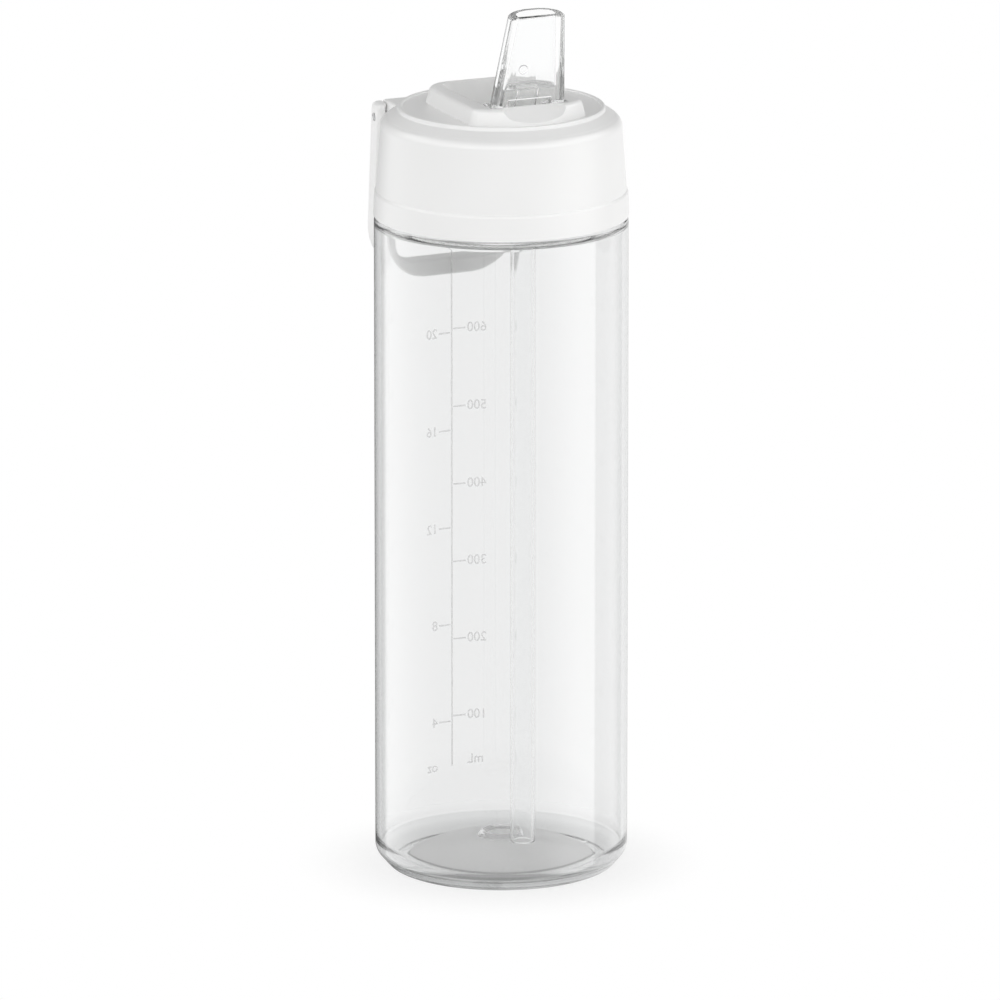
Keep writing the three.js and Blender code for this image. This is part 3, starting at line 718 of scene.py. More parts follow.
def frosted_mark(name, colour, cover):
    """Fine frosted relief on a clear wall: partly see-through, uneven in cover."""
    material, nodes = new_finish(name)
    speckle = nodes.noise(0.3, detail=3.0)
    nodes.show(nodes.add("ShaderNodeBsdfPrincipled", {}, {
        "Base Color": nodes.mixed(speckle, [0.9 * part for part in colour], colour),
        "Roughness": 0.35 + 0.3 * speckle,
        "Normal": nodes.bump(speckle, 0.02, 0.4),
        "Alpha": cover * (0.8 + 0.4 * speckle),
    }))
    return material


def silicone(name, colour):
    """Pale silicone: soft sheen, slightly dusty."""
    material, nodes = new_finish(name)
    dust = nodes.noise(0.6, detail=4.0)
    nodes.show(nodes.add("ShaderNodeBsdfPrincipled", {}, {
        "Base Color": nodes.mixed(dust, [0.93 * part for part in colour], colour),
        "Roughness": 0.5 + 0.25 * dust,
        "Normal": nodes.bump(dust, 0.01, 0.3),
        "Subsurface Weight": 0.25,
        "Subsurface Radius": (0.002, 0.002, 0.002),
        "IOR": 1.41,
    }))
    return material


def ground_steel(name, colour):
    """Steel pin ground round, with fine marks across its axis."""
    material, nodes = new_finish(name)
    marks = nodes.noise(0.4, detail=3.0, stretch=(0.15, 4, 4))
    nodes.show(nodes.add("ShaderNodeBsdfPrincipled", {}, {
        "Base Color": nodes.mixed(marks, [0.8 * part for part in colour], colour),
        "Roughness": 0.22 + 0.2 * marks,
        "Normal": nodes.bump(marks, 0.005, 0.3),
        "Metallic": 1.0,
    }))
    return material


WHITE = (0.86, 0.86, 0.855)
INNER_WHITE = (0.80, 0.81, 0.80)
lid_finish = moulded_plastic("white_lid_plastic", WHITE, 0.36)
loop_finish = moulded_plastic("white_loop_plastic", WHITE, 0.40)
core_finish = moulded_plastic("inner_cap_plastic", INNER_WHITE, 0.45)
# The second grey of each clear plastic is its edge tint, partly painted shade on the edges of its walls
bottle_finish = clear_plastic("clear_bottle_plastic", (0.932, 0.934, 0.934), (0.60, 0.61, 0.61), 0.03,
                              (0.95, 0.95, 0.95), bottle_tint_and_shade)
spout_finish = clear_plastic("clear_spout_plastic", (0.985, 0.988, 0.988), (0.62, 0.63, 0.63), 0.03,
                             (0.93, 0.93, 0.93))
straw_finish = clear_plastic("clear_straw_plastic", (0.985, 0.987, 0.987), (0.84, 0.85, 0.85), 0.08,
                             (0.92, 0.92, 0.92))
scale_finish = frosted_mark("frosted_scale", (0.55, 0.55, 0.55), 0.28)
frosting_finish = frosted_mark("frosted_floor", (0.92, 0.92, 0.92), 0.6)
# Darker grey skin on the disc's step: painted shade of the groove round the floor's disc
disc_edge_shade_finish = frosted_mark("painted_shade_disc_edge", (0.58, 0.58, 0.58), 0.6)
silicone_finish = silicone("pale_silicone", (0.80, 0.81, 0.80))
pin_finish = ground_steel("ground_steel_pin", (0.62, 0.63, 0.64))


# Pieces

def screw_thread(root, crest, middle_height):
    """A ridge wound round the axis, from its root radius to its crest radius."""
    steps = round(ROUND_STEPS * THREAD_TURNS)
    start = middle_height - THREAD_PITCH * THREAD_TURNS / 2
    bm = outline([
        (root, start - THREAD_ROOT_HALF),
        (crest, start - THREAD_CREST_HALF),
        (crest, start + THREAD_CREST_HALF),
        (root, start + THREAD_ROOT_HALF),
    ], from_front(0))
    bmesh.ops.spin(bm, geom=bm.verts[:] + bm.edges[:], cent=(0, 0, 0), axis=(0, 0, 1),
                   dvec=(0, 0, THREAD_PITCH / ROUND_STEPS), angle=FULL_TURN * THREAD_TURNS, steps=steps,
                   use_merge=False, use_duplicate=False)
    bmesh.ops.holes_fill(bm, edges=[edge for edge in bm.edges if edge.is_boundary], sides=0)
    bmesh.ops.recalc_face_normals(bm, faces=bm.faces)
    return bm


def dome_arc(start, end, lift=0.0):
    """Points (radius, height) along the floor's dome between two radii, lifted off it."""
    middle = FLOOR_CENTRE - FLOOR_DOME + lift
    radii = spaced(start, end, DOME_STEPS)
    return [(radius, middle + math.sqrt(FLOOR_DOME ** 2 - radius ** 2)) for radius in radii]


def make_bottle():
    """Wall in one turned profile, from the floor's underside round to its top, with the neck's thread."""
    inner_foot = FOOT_RADIUS - BOTTLE_WALL / 2
    wall = turned([
        *dome_arc(0, FLOOR_DISC_RADIUS, -FLOOR_THICKNESS),
        (FOOT_INNER, 0, FOOT_INNER_ROUNDING),
        (FOOT_RADIUS, 0, BASE_ROUNDING),
        (BOTTLE_RADIUS, CHAMFER_HEIGHT, BASE_ROUNDING),
        (BOTTLE_RADIUS, SHOULDER_TOP, SHOULDER_ROUNDING),
        (NECK_RADIUS, SHOULDER_TOP + SEAT_GAP, RIM_ROUNDING),
        (NECK_RADIUS, RIM_HEIGHT, RIM_ROUNDING),
        (NECK_INNER, RIM_HEIGHT, RIM_ROUNDING),
        (NECK_INNER, SHOULDER_TOP - SHOULDER_WALL, NECK_ROOT_ROUNDING),
        (INNER_RADIUS, SHOULDER_TOP - SHOULDER_WALL - SEAT_GAP, SHOULDER_ROUNDING),
        (INNER_RADIUS, CHAMFER_HEIGHT + BOTTLE_WALL, FLOOR_ROUNDING),
        (inner_foot, FLOOR_THICKNESS, FLOOR_ROUNDING),
        (FLOOR_DISC_RADIUS + FLOOR_DISC_STEP, FLOOR_THICKNESS),
        *dome_arc(FLOOR_DISC_RADIUS, GATE_FOOT),
        (GATE_RADIUS, FLOOR_CENTRE + GATE_HEIGHT, GATE_HEIGHT / 2),
        (GATE_RADIUS - GATE_RING, FLOOR_CENTRE + GATE_HEIGHT, GATE_HEIGHT / 2),
        (GATE_INNER, FLOOR_CENTRE),
        (0, FLOOR_CENTRE),
    ])
    thread = screw_thread(NECK_RADIUS - THREAD_BITE, NECK_RADIUS + THREAD_HEIGHT, THREAD_MIDDLE)
    return carved(wall, ("UNION", thread))


def make_floor_frosting():
    """Fine moulded texture on the floor: over its dome to the disc's edge, and inside the gate ring."""
    edge = FLOOR_DISC_RADIUS - FROSTING
    start = GATE_FOOT + FROSTING
    dome = turned(dome_arc(start, edge, FROSTING) + dome_arc(edge, start, -FROSTING), closed=True)
    gate = rod(GATE_INNER - FROSTING, (0, 0, FLOOR_CENTRE - FROSTING), (0, 0, FLOOR_CENTRE + FROSTING))
    return together([dome, gate])


def make_disc_edge():
    """Frosted skin on the low step round the floor's disc, in a darker grey that is painted shade along the
    step.
    """
    foot = FLOOR_DISC_RADIUS + FLOOR_DISC_STEP
    low = FLOOR_THICKNESS + FROSTING / 2
    high = FLOOR_DISC_HEIGHT - FROSTING / 2
    return turned([
        (foot - FROSTING, low),
        (foot + FROSTING, low),
        (FLOOR_DISC_RADIUS + FROSTING, high),
        (FLOOR_DISC_RADIUS - FROSTING, high),
    ], closed=True)


def on_back_wall(bm):
    """Wraps a flat relief, drawn as seen from behind with its face towards +Z, round the back wall."""
    for point in bm.verts:
        along, up, proud = point.co
        radius = BOTTLE_RADIUS - SCALE_SUNK + proud
        angle = along / BOTTLE_RADIUS
        point.co = (-radius * math.sin(angle), radius * math.cos(angle), up)
    bmesh.ops.recalc_face_normals(bm, faces=bm.faces)
    return bm


def scale_bar(left, right, low, high):
    """A flat bar of the scale, divided along its length so that it can bend."""
    corners = [(left, low), (right, low), (right, high), (left, high)]
    bm = raised(corners, 0, SCALE_RELIEF)
    long_edges = [edge for edge in bm.edges
                  if abs(edge.verts[0].co.x - edge.verts[1].co.x) > TICK_LENGTH / 2]
    bmesh.ops.subdivide_edges(bm, edges=long_edges, cuts=TICK_CUTS)
    return bm


def scale_figures(text, edge, height, side):
    """Raised figures whose inner end is at edge, on one side of the scale's line."""
    curve = bpy.data.curves.new("figures", "FONT")
    curve.body = text
    curve.size = FIGURE_SIZE
    curve.extrude = SCALE_RELIEF / 2
    curve.align_x = "RIGHT" if side > 0 else "LEFT"
    curve.align_y = "CENTER"
    figures = in_scene("figures", curve)
    bm = shape_of(figures)
    bpy.data.objects.remove(figures)
    bpy.data.curves.remove(curve)
    bmesh.ops.translate(bm, verts=bm.verts, vec=(-side * edge, height, SCALE_RELIEF / 2))
    return bm


def make_scale():
    """Upright line with ticks, figures and a unit for millilitres on one side and ounces on the other."""
    half_line = SCALE_LINE_WIDTH / 2
    parts = [scale_bar(-half_line, half_line, SCALE_LINE_BOTTOM, SCALE_LINE_TOP)]
    for scale in (MILLILITRE_SCALE, OUNCE_SCALE):
        side = scale["side"]
        figures_edge = TICK_START + TICK_LENGTH + FIGURE_GAP
        for mark in range(scale["count"]):
            height = scale["first"] + mark * scale["spacing"]
            ends = sorted((-side * TICK_START, -side * (TICK_START + TICK_LENGTH)))
            parts.append(scale_bar(*ends, height - half_line, height + half_line))
            parts.append(scale_figures(str((mark + 1) * scale["step"]), figures_edge, height, side))
        parts.append(scale_figures(scale["unit"], figures_edge, scale["first"] - UNIT_BELOW_FIRST, side))
    return on_back_wall(together(parts))


def make_straw():
    """Tube under the spout's pivot."""
    return ring(STRAW_RADIUS - STRAW_WALL, STRAW_RADIUS, STRAW_LOW.z, STRAW_HIGH.z, STRAW_EDGE, SMALL_STEPS,
                SPOUT_PIVOT.y)


def make_gasket():
    """Flat seal between the lid's core and the bottle's rim."""
    return ring(GASKET_INNER, GASKET_HIGH.x, GASKET_LOW.z, GASKET_HIGH.z, GASKET_EDGE)


def cone_radius(height):
    """Radius of the lid's outer cone at a height."""
    share = (height - BAND_TOP) / (CONE_TOP - BAND_TOP)
    return CONE_BOTTOM_RADIUS + share * (CONE_TOP_RADIUS - CONE_BOTTOM_RADIUS)


def make_lid_core():
    """Inner cap with the gasket's land, the thread, the straw's nipple and the vent hole."""
    land_inner = CORE_INNER - CORE_LAND_WIDTH
    skirt_top = cone_radius(CORE_HIGH.z) - SHELL_WALL - SEAT_GAP
    skirt_bottom = cone_radius(BAND_TOP) - SHELL_WALL - SEAT_GAP
    cap = turned([
        (0, CORE_CEILING),
        (land_inner - CORE_LAND_TAPER, CORE_CEILING, CORE_EDGE),
        (land_inner, CORE_LAND, CORE_EDGE),
        (CORE_INNER, CORE_LAND),
        (CORE_INNER, CORE_LOW.z, CORE_EDGE),
        (skirt_bottom, CORE_LOW.z, CORE_EDGE),
        (skirt_bottom, BAND_TOP),
        (skirt_top, CORE_HIGH.z, CORE_EDGE),
        (0, CORE_HIGH.z),
    ])
    thread = screw_thread(CORE_INNER + THREAD_BITE, CORE_INNER - CORE_GRIP,
                          THREAD_MIDDLE - THREAD_PITCH / 2)
    radius = STRAW_RADIUS - STRAW_WALL - PIVOT_GAP
    low = CORE_CEILING - NIPPLE_LENGTH
    y = SPOUT_PIVOT.y
    nipple = rod(radius, (0, y, low), (0, y, CORE_CEILING + CORE_DECK / 2))
    bore = rod(radius - NIPPLE_WALL, (0, y, low - OVERCUT), (0, y, CORE_HIGH.z + OVERCUT))
    vent = rod(VENT_HOLE_RADIUS, (0, VENT_Y, CORE_CEILING - OVERCUT), (0, VENT_Y, CORE_HIGH.z + OVERCUT))
    return carved(cap, ("UNION", thread), ("UNION", nipple), ("DIFFERENCE", bore), ("DIFFERENCE", vent))


def make_skin():
    """The lid's outer skin: lower band, cone, slanted shoulder, bead and deck."""
    return turned([
        (0, INNER_TOP),
        (cone_radius(INNER_TOP) - SHELL_WALL, INNER_TOP),
        (cone_radius(BAND_TOP) - SHELL_WALL, BAND_TOP),
        (LID_RADIUS - SHELL_WALL, LID_BOTTOM, BAND_STEP),
        (LID_RADIUS, LID_BOTTOM, BAND_STEP),
        (BAND_TOP_RADIUS, BAND_TOP, BAND_STEP),
        (CONE_BOTTOM_RADIUS, BAND_TOP + BAND_STEP, BAND_STEP / 3),
        (CONE_TOP_RADIUS, CONE_TOP, CONE_ROUNDING),
        (BEAD_RADIUS + BEAD_WIDTH / 2, DECK_TOP - BEAD_HEIGHT, BEAD_ROUNDING / 2),
        (BEAD_RADIUS + BEAD_WIDTH / 3, DECK_TOP + BEAD_HEIGHT, BEAD_ROUNDING),
        (BEAD_RADIUS - BEAD_WIDTH / 3, DECK_TOP + BEAD_HEIGHT, BEAD_ROUNDING),
        (BEAD_RADIUS - BEAD_WIDTH / 2, DECK_TOP, BEAD_ROUNDING / 2),
        (0, DECK_TOP),
    ])


def make_lug():
    """Hinge lug on the lid's back, hollowed where the core and the deck's room are."""
    root = BEAD_RADIUS - LUG_ROUNDING
    lug = widened([
        (root, LUG_TOP),
        (root, LUG_FOOT),
        (cone_radius(LUG_FOOT) - SHELL_WALL / 2, LUG_FOOT),
        (LUG_BACK, LUG_LOW, LUG_ROUNDING),
        (LUG_BACK, LUG_TOP, LUG_ROUNDING),
    ], LUG_HALF_WIDTH)
    eased(lug, sharp_edges(lug), LUG_EDGE)
    inner_cone = turned([
        (0, LID_BOTTOM - OVERCUT),
        (cone_radius(BAND_TOP) - SHELL_WALL, LID_BOTTOM - OVERCUT),
        (cone_radius(BAND_TOP) - SHELL_WALL, BAND_TOP),
        (cone_radius(INNER_TOP) - SHELL_WALL, INNER_TOP),
        (0, INNER_TOP),
    ])
    deck_room = rod(BEAD_RADIUS, (0, 0, INNER_TOP - OVERCUT), (0, 0, DAIS_TOP), ROUND_STEPS)
    return carved(lug, ("DIFFERENCE", inner_cone), ("DIFFERENCE", deck_room))


def make_dais():
    """Raised dais round the spout, with drafted walls and a front that is round about the lid's axis."""
    foot = DECK_TOP - DECK_THICKNESS / 2
    side = DAIS_HALF_WIDTH + DAIS_DRAFT
    back = DAIS_BACK + DAIS_DRAFT
    front = DAIS_FRONT_RADIUS + DAIS_DRAFT
    # The arc at each front corner touches the round front and the straight side
    corner_x = side - DAIS_CORNER
    corner_y = -math.sqrt((front - DAIS_CORNER) ** 2 - corner_x ** 2)
    turn = math.atan2(corner_x, -corner_y)
    half = [
        *arc_points((0, 0), front, 0, turn, DAIS_STEPS),
        *arc_points((corner_x, corner_y), DAIS_CORNER, turn, math.pi / 2, DAIS_STEPS)[1:],
        (side, 0),
        (side - DAIS_BACK_TAPER, back, DAIS_BACK_ROUNDING),
    ]
    dais = raised(half + mirrored(half[1:]), foot, foot + SEAT_GAP)
    top = next(face for face in dais.faces if face.normal.z > FACING)
    bmesh.ops.inset_region(dais, faces=[top], thickness=DAIS_DRAFT, use_even_offset=True)
    bmesh.ops.translate(dais, verts=top.verts, vec=(0, 0, DAIS_TOP - foot - SEAT_GAP))
    return eased(dais, sharp_edges(dais, height=DAIS_TOP), DAIS_EDGE, ARC_STEPS)


def make_recess():
    """Room for the folded spout, open to the front above the pivot, with the barrel's trough."""
    above = DAIS_TOP + TALL_OVERCUT
    mouth = SPOUT_PIVOT.y + BARREL_RADIUS
    half = [
        (CRADLE_HALF_WIDTH, RECESS_START),
        (CRADLE_HALF_WIDTH, mouth),
        (RECESS_HALF_WIDTH, mouth + MOUTH_CHAMFER),
        (RECESS_HALF_WIDTH, RECESS_BACK, RECESS_ROUNDING),
    ]
    well = raised(half + mirrored(half), RECESS_FLOOR, above)
    cradle = widened([
        (CRADLE_FRONT, SPOUT_PIVOT.z),
        (mouth, SPOUT_PIVOT.z),
        (mouth, above),
        (CRADLE_FRONT, above),
    ], CRADLE_HALF_WIDTH)
    trough = crossbar(BARREL_RADIUS + SWING_GAP, CRADLE_HALF_WIDTH, SPOUT_PIVOT)
    return carved(well, ("UNION", cradle), ("UNION", trough))


def make_ramp():
    """Wedge cut from the dais's front foot up to the spout."""
    clear = DAIS_FRONT_RADIUS + DAIS_DRAFT
    far = -clear - RAMP_OVERCUT
    ramp = widened([
        (CRADLE_FRONT - SWING_GAP, DAIS_TOP + SWING_GAP),
        (-clear, DECK_TOP + SWING_GAP),
        (far, DECK_TOP + SWING_GAP),
        (far, DAIS_TOP + RAMP_OVERCUT),
        (CRADLE_FRONT - SWING_GAP, DAIS_TOP + RAMP_OVERCUT),
    ], RAMP_HALF_WIDTH)
    low_sides = [edge for edge in sharp_edges(ramp) if edge.verts[0].co.x == edge.verts[1].co.x
                 and max(point.co.z for point in edge.verts) < DAIS_TOP + OVERCUT]
    return eased(ramp, low_sides, RAMP_SIDE_ROUNDING, ARC_STEPS)


def make_detent(side):
    """Rounded rib on one of the recess's side walls that grips the folded spout."""
    y = SPOUT_PIVOT.y + DETENT_FROM_PIVOT
    wall = side * (RECESS_HALF_WIDTH + SEAT_GAP)
    tip = side * (RECESS_HALF_WIDTH + SEAT_GAP - DETENT_LENGTH)
    top = DAIS_TOP - SEAT_GAP - RECESS_EDGE
    rib = raised([
        (tip, y - DETENT_RADIUS, DETENT_ROUNDING),
        (wall, y - DETENT_RADIUS),
        (wall, y + DETENT_RADIUS),
        (tip, y + DETENT_RADIUS, DETENT_ROUNDING),
    ], RECESS_FLOOR - SEAT_GAP, top)
    return eased(rib, sharp_edges(rib, height=top), DETENT_EDGE)


def seal_column(spread, bottom, top):
    """Upright bar with round ends, round the slot that the drink passes through."""
    half = Vector((SLOT_HALF.x + spread, SLOT_HALF.y + spread))
    bar = raised(round_ended(half), bottom, top)
    return placed(bar, (0, SPOUT_PIVOT.y - SEAL_FORWARD, 0))


def make_lid_shell():
    """Outer lid: skin, lug, dais and seal pocket, cut by the recess, the ramp and holes for other pieces."""
    pocket_side = SOCKET_DEPTH + POCKET_WALL
    half = [
        (pocket_side, CRADLE_FRONT - POCKET_WALL, POCKET_WALL),
        (pocket_side, RECESS_BACK + POCKET_WALL, RECESS_ROUNDING),
    ]
    pocket = raised(half + mirrored(half), POCKET_BOTTOM, INNER_TOP + SEAT_GAP)
    shell = carved(make_skin(), ("UNION", make_lug()), ("UNION", make_dais()), ("UNION", pocket),
                   ("DIFFERENCE", make_recess()), ("DIFFERENCE", make_ramp()))
    eased(shell, sharp_edges(shell, height=DAIS_TOP), RECESS_EDGE)
    low = POCKET_BOTTOM - OVERCUT
    flange_top = POCKET_BOTTOM + SEAL_FLANGE_HEIGHT + SEAT_GAP
    ribs = [make_detent(-1), make_detent(1)]
    cuts = [
        crossbar(TRUNNION_RADIUS + PIVOT_GAP, SOCKET_DEPTH, SPOUT_PIVOT),
        seal_column(SEAL_WALL + SEAT_GAP, low, SPOUT_PIVOT.z),
        seal_column(SEAL_WALL + SEAL_FLANGE + SEAT_GAP, low, flange_top),
        rod(VENT_STEM + PIVOT_GAP, (0, VENT_Y, low), (0, VENT_Y, RECESS_FLOOR + OVERCUT)),
    ]
    pin_end = LUG_HALF_WIDTH - PIN_BITE - SEAT_GAP
    for side in (-1, 1):
        start = (side * pin_end, LOOP_PIN.y, LOOP_PIN.z)
        end = (side * (LUG_HALF_WIDTH + OVERCUT), LOOP_PIN.y, LOOP_PIN.z)
        cuts.append(rod(PIN_RADIUS + PIVOT_GAP, start, end))
    return carved(shell, *[("UNION", rib) for rib in ribs], *[("DIFFERENCE", cut) for cut in cuts])


def spout_half(height, inset=Vector((0, 0))):
    """Half width and half depth of the spout at a height over its pivot."""
    return SPOUT_BASE.lerp(SPOUT_TIP, height / SPOUT_LENGTH) - inset


def tapered_bar(bottom, top, inset=Vector((0, 0))):
    """The spout's section, flat in front and rounded behind, drawn up with the spout's taper."""
    low, high = spout_half(bottom, inset), spout_half(top, inset)
    front = max(SPOUT_FRONT_ROUNDING - inset.y, low.y / 4)
    half = [
        (low.x, -low.y, front),
        (low.x, SPOUT_BACK_SHARE.y * low.y, SPOUT_BACK_ROUNDING.y - inset.y),
        (SPOUT_BACK_SHARE.x * low.x, low.y, SPOUT_BACK_ROUNDING.x - inset.y),
    ]
    bar = raised(half + mirrored(half), 0, top - bottom, (high.x / low.x, high.y / low.y, 1))
    return placed(bar, (0, 0, bottom))


def make_barrel():
    """Round bar along the spout's pivot."""
    return crossbar(BARREL_RADIUS, BARREL_HALF_LENGTH)


def make_notch():
    """Thumb notch in the spout's front, above the barrel."""
    face = NOTCH_DEPTH - SPOUT_BASE.y
    notch = widened([
        (-2 * SPOUT_BASE.y, 0),
        (face, 0),
        (face, NOTCH_TOP, NOTCH_DEPTH / 2),
        (-2 * SPOUT_BASE.y, NOTCH_TOP),
    ], NOTCH_HALF_WIDTH)
    return carved(notch, ("DIFFERENCE", make_barrel()))


def make_spout():
    """Spout drawn upright about its pivot, then leant forward."""
    body = tapered_bar(0, SPOUT_LENGTH)
    eased(body, sharp_edges(body, height=SPOUT_LENGTH), SPOUT_LIP, ARC_STEPS)
    barrel = make_barrel()
    eased(barrel, sharp_edges(barrel), BARREL_EDGE)
    trunnions = crossbar(TRUNNION_RADIUS, SOCKET_DEPTH - SEAT_GAP)
    eased(trunnions, sharp_edges(trunnions), BARREL_EDGE)
    back = spout_half(NUB_FROM_PIVOT).y
    nub = rod(NUB_RADIUS, (0, back - NUB_HEIGHT / 2, NUB_FROM_PIVOT),
              (0, back + NUB_HEIGHT, NUB_FROM_PIVOT))
    eased(nub, sharp_edges(nub), NUB_HEIGHT / 2)
    channel = tapered_bar(CHANNEL_FLOOR, SPOUT_LENGTH + OVERCUT, SPOUT_WALL)
    eased(channel, sharp_edges(channel, height=CHANNEL_FLOOR), SPOUT_WALL.y / 2)
    slot = round_ended(SLOT_HALF)
    upper = raised(slot, 0, CHANNEL_FLOOR + OVERCUT)
    lower = raised(slot, -2 * BARREL_RADIUS, 0)
    placed(lower, (0, 0, 0), -SPOUT_LEAN - math.asin(SEAL_FORWARD / BARREL_RADIUS))
    cup = carved(body, ("DIFFERENCE", channel))
    spout = carved(cup, ("UNION", barrel), ("UNION", trunnions), ("UNION", nub),
                   ("DIFFERENCE", upper), ("DIFFERENCE", lower), ("DIFFERENCE", make_notch()))
    eased(spout, sharp_edges(spout, height=SPOUT_LENGTH), SPOUT_LIP / 2)
    return placed(spout, SPOUT_PIVOT, SPOUT_LEAN)


def make_spout_seal():
    """Slotted gland with a flange, hollowed on top to fit the spout's barrel."""
    bottom = SEAL_LOW.z
    column = seal_column(SEAL_WALL, bottom, SPOUT_PIVOT.z)
    flange = seal_column(SEAL_WALL + SEAL_FLANGE, bottom, bottom + SEAL_FLANGE_HEIGHT)
    slot = seal_column(0, bottom - OVERCUT, SPOUT_PIVOT.z + OVERCUT)
    barrel = crossbar(BARREL_RADIUS + SEAT_GAP, SLOT_HALF.x + 3 * SEAL_WALL, SPOUT_PIVOT)
    return carved(column, ("UNION", flange), ("DIFFERENCE", slot), ("DIFFERENCE", barrel))


def make_vent_valve():
    """Hollow button with a flange that rests on the recess's floor."""
    flange_bottom = RECESS_FLOOR + SEAT_GAP / 2
    flange_top = flange_bottom + VENT_FLANGE_THICKNESS
    return turned([
        (0, VENT_HIGH.z - VENT_SKIN),
        (VENT_STEM - VENT_SKIN, VENT_HIGH.z - VENT_SKIN, VENT_SKIN),
        (VENT_STEM - VENT_SKIN, VENT_LOW.z),
        (VENT_STEM, VENT_LOW.z),
        (VENT_STEM, flange_bottom),
        (VENT_FLANGE, flange_bottom),
        (VENT_FLANGE, flange_top, VENT_SKIN / 2),
        (VENT_STEM, flange_top, VENT_SKIN / 3),
        (VENT_STEM, VENT_HIGH.z, VENT_SKIN / 2),
        (0, VENT_HIGH.z),
    ], SMALL_STEPS, VENT_Y)


def make_carry_loop():
    """Loop drawn flat about its pin, with rounded edges, then leant back."""
    arm_top = LOOP_HALF_WIDTH - LOOP_ARM_TOP
    arm_low = LOOP_HALF_WIDTH - LOOP_ARM_LOW
    splay = -LOOP_ARM_STRAIGHT - LOOP_ARM_SPLAY
    half = [
        (arm_top, LOOP_KNUCKLE),
        (arm_top, -LOOP_ARM_STRAIGHT, LOOP_ARM_TOP),
        (arm_low, splay, LOOP_ARM_TOP),
        (arm_low, LOOP_BOW - LOOP_DROP, LOOP_INNER_ROUNDING),
    ]
    outside = [
        (LOOP_HALF_WIDTH, -LOOP_DROP, LOOP_OUTER_ROUNDING),
        (LOOP_HALF_WIDTH, LOOP_KNUCKLE, LOOP_KNUCKLE_ROUNDING),
    ]
    depth = LOOP_THICKNESS - 2 * LOOP_EDGE
    loop = prism(half + mirrored(half) + mirrored(outside) + outside, from_front(-depth / 2), (0, depth, 0))
    flat_faces = [face for face in loop.faces if abs(face.normal.y) > FACING]
    for face in flat_faces:
        rounded_off(loop, face, LOOP_EDGE)
    bmesh.ops.triangulate(loop, faces=flat_faces)
    hole = crossbar(PIN_RADIUS + PIVOT_GAP, LOOP_HALF_WIDTH + OVERCUT)
    loop = carved(loop, ("DIFFERENCE", hole))
    return placed(loop, LOOP_PIN, LOOP_LEAN)


def make_carry_pin(node):
    """Pin of one of the loop's arms, as long as its CAD node."""
    low, high = node_box(node)
    pin = rod(PIN_RADIUS, (low.x, LOOP_PIN.y, LOOP_PIN.z), (high.x, LOOP_PIN.y, LOOP_PIN.z))
    return eased(pin, sharp_edges(pin), PIN_EDGE)


finished(make_bottle(), "bottle_wall", "bottle", bottle_finish, "bottle_body")
finished(make_scale(), "bottle_scale", "bottle", scale_finish)
finished(make_floor_frosting(), "bottle_floor_texture", "bottle", frosting_finish)
finished(make_disc_edge(), "bottle_floor_disc_edge", "bottle", disc_edge_shade_finish)
finished(make_gasket(), "rim_gasket", "lid_seal", silicone_finish, "lid_gasket")
finished(make_lid_shell(), "lid_outer_shell", "lid", lid_finish, "lid_shell")
finished(make_lid_core(), "lid_inner_cap", "lid", core_finish, "lid_core")
finished(make_straw(), "drinking_straw", "lid", straw_finish, "straw")
finished(make_spout_seal(), "spout_gland", "lid", silicone_finish, "spout_seal")
finished(make_vent_valve(), "vent_button", "lid", silicone_finish, "vent_valve")
finished(make_spout(), "flip_spout", "spout", spout_finish, "spout")
finished(make_carry_loop(), "carry_loop_band", "carry_loop", loop_finish, "carry_loop")
for pin_side in ("left", "right"):
    pin_node = f"carry_pin_{pin_side}"
    finished(make_carry_pin(pin_node), f"loop_pin_{pin_side}", "lid", pin_finish, pin_node)


# Studio: pale ground, soft surroundings, one soft lamp and the camera

def make_ground():
    """Pale floor that is white to the camera, with a soft shade under the bottle: the real shadow on its
    matt part, and painted shade where less glow is mixed in near the bottle.
    """
    material, nodes = new_finish("studio_floor")
    # Painted shade: less white glow near the bottle's axis, and less still through the bottle than to the
    # camera
    clear_of_painted_shade = nodes.from_bottle_axis().rise(*GROUND_BRIGHTENS)
    under_bottle = GROUND_GLOW + GROUND_GLOW_SEEN * nodes.light_path("Is Camera Ray")
    matt = nodes.add("ShaderNodeBsdfDiffuse", {}, {"Color": GROUND_COLOUR})
    glow = nodes.add("ShaderNodeEmission", {}, {"Color": WHITE_LIGHT, "Strength": 1.0})
    share = under_bottle + (1 - under_bottle) * clear_of_painted_shade
    nodes.show(nodes.add("ShaderNodeMixShader", {}, {0: share, 1: matt, 2: glow}))
    bm = bmesh.new()
    bmesh.ops.create_grid(bm, x_segments=1, y_segments=1, size=GROUND_HALF)
    mesh = as_mesh(bm, "studio_floor")
    mesh.materials.append(material)
    floor = in_scene("studio_floor", mesh)
    floor.visible_glossy = False


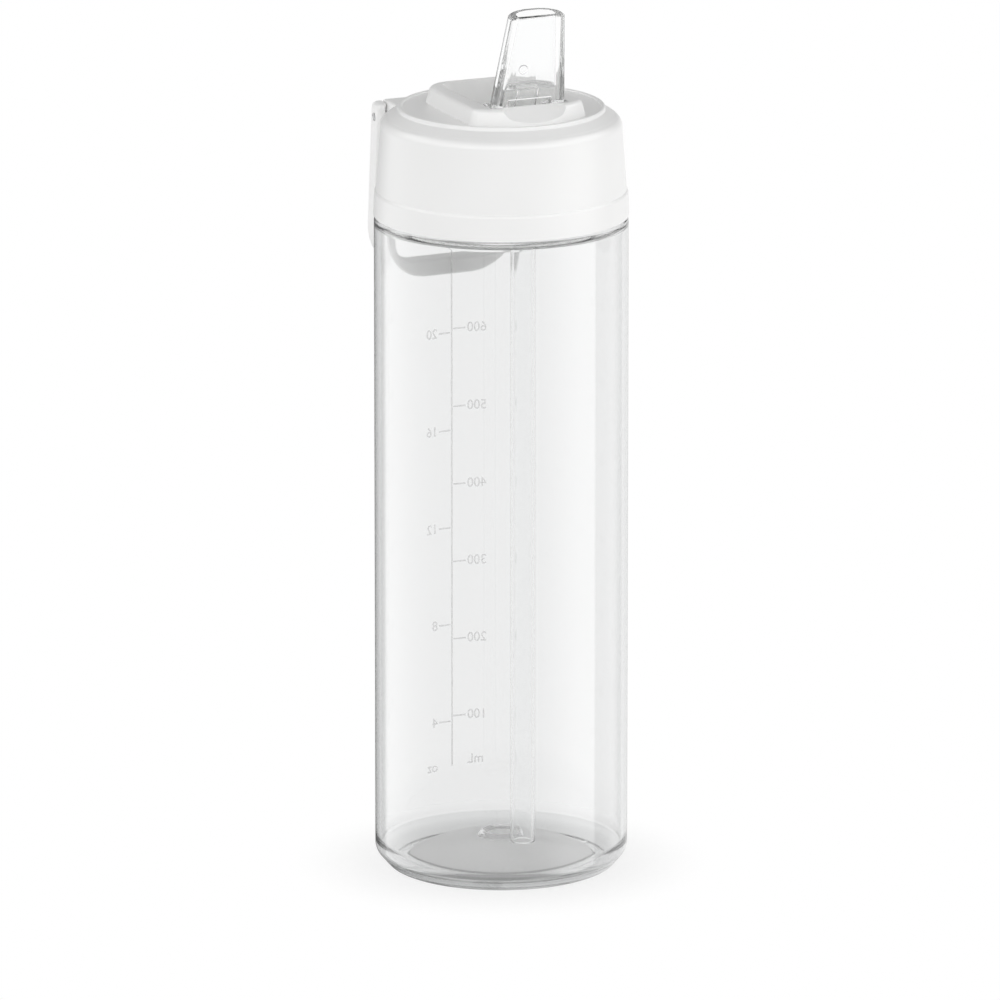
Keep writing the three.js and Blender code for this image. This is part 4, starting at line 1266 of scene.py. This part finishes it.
def make_surroundings():
    """White to the camera and through clear plastic; tall bright and grey screens in reflections."""
    world = bpy.data.worlds.new("studio_surroundings")
    bpy.context.scene.world = world
    nodes = Nodes(world)
    direction = nodes.add("ShaderNodeTexCoord", give="Generated")
    x, y, z = [nodes.along(direction, axis) for axis in "XYZ"]
    turn = CAMERA_AZIMUTH
    right = x * math.cos(turn) + y * math.sin(turn)
    towards = x * math.sin(turn) - y * math.cos(turn)
    bearing = right.math("ARCTAN2", right, towards) * math.degrees(1)
    screens = RIGHT_STRENGTH * bearing.window(*RIGHT_SCREEN) + LEFT_STRENGTH * bearing.window(*LEFT_SCREEN)
    back = BACK_RIGHT_STRENGTH * bearing.rise(*BACK_RIGHT) - BACK_LEFT_SHADE * bearing.fall(*BACK_LEFT)
    behind = bearing.absolute().rise(*BEHIND)
    low = (BETWEEN_SCREENS + screens + back) * (1 - behind) + BEHIND_STRENGTH * behind
    in_front = bearing.absolute().fall(*OVERHEAD_REACH)
    high = ROOM_STRENGTH + OVERHEAD_STRENGTH * in_front * z.window(*OVERHEAD_SCREEN)
    above = z.rise(*HORIZON)
    reflected = (1 - above) * low + above * high
    soft = z.absolute().rise(*SOFT_FADE, SOFT_LOW, SOFT_TOP)
    seen = nodes.light_path("Is Camera Ray").larger(nodes.light_path("Is Transmission Ray"))
    glossy = nodes.light_path("Is Glossy Ray")
    strength = seen + (1 - seen) * (glossy * reflected + (1 - glossy) * soft)
    glow = nodes.add("ShaderNodeBackground", {}, {"Color": WHITE_LIGHT, "Strength": strength})
    nodes.show(glow, "World")


def towards_bearing(azimuth, elevation):
    """Unit vector from the object at an azimuth, 0 towards -Y, and an elevation."""
    level = math.cos(elevation)
    return Vector((math.sin(azimuth) * level, -math.cos(azimuth) * level, math.sin(elevation)))


def aimed(viewer, target, back, distance):
    """Sets a camera or lamp at a distance from a target, facing it."""
    viewer.location = target + back * distance
    viewer.rotation_mode = "QUATERNION"
    viewer.rotation_quaternion = (-back).to_track_quat("-Z", "Y")


def make_lamp():
    """Soft key lamp, which lights matt surfaces and isn't seen in clear ones."""
    light = bpy.data.lights.new("soft_key", "AREA")
    light.shape = "RECTANGLE"
    light.size, light.size_y = LAMP_SIZE
    light.energy = LAMP_WATTS
    lamp = in_scene("soft_key", light)
    lamp.visible_glossy = False
    lamp.visible_transmission = False
    back = towards_bearing(CAMERA_AZIMUTH + math.radians(LAMP_BEARING), math.radians(LAMP_ELEVATION))
    aimed(lamp, LAMP_TARGET, back, LAMP_DISTANCE)


def make_camera():
    lens = bpy.data.cameras.new("photo_camera")
    lens.lens = CAMERA_LENS
    lens.sensor_width = CAMERA_SENSOR
    camera = in_scene("photo_camera", lens)
    back = towards_bearing(CAMERA_AZIMUTH, CAMERA_ELEVATION)
    aimed(camera, TO_FRAME @ CAMERA_TARGET, back, CAMERA_DISTANCE)
    bpy.context.scene.camera = camera


make_ground()
make_surroundings()
make_lamp()
make_camera()
bpy.context.scene.view_settings.view_transform = "Standard"
bpy.context.scene.cycles.max_bounces = MAX_BOUNCES
bpy.context.scene.cycles.glossy_bounces = GLOSSY_BOUNCES
bpy.context.scene.cycles.transmission_bounces = MAX_BOUNCES
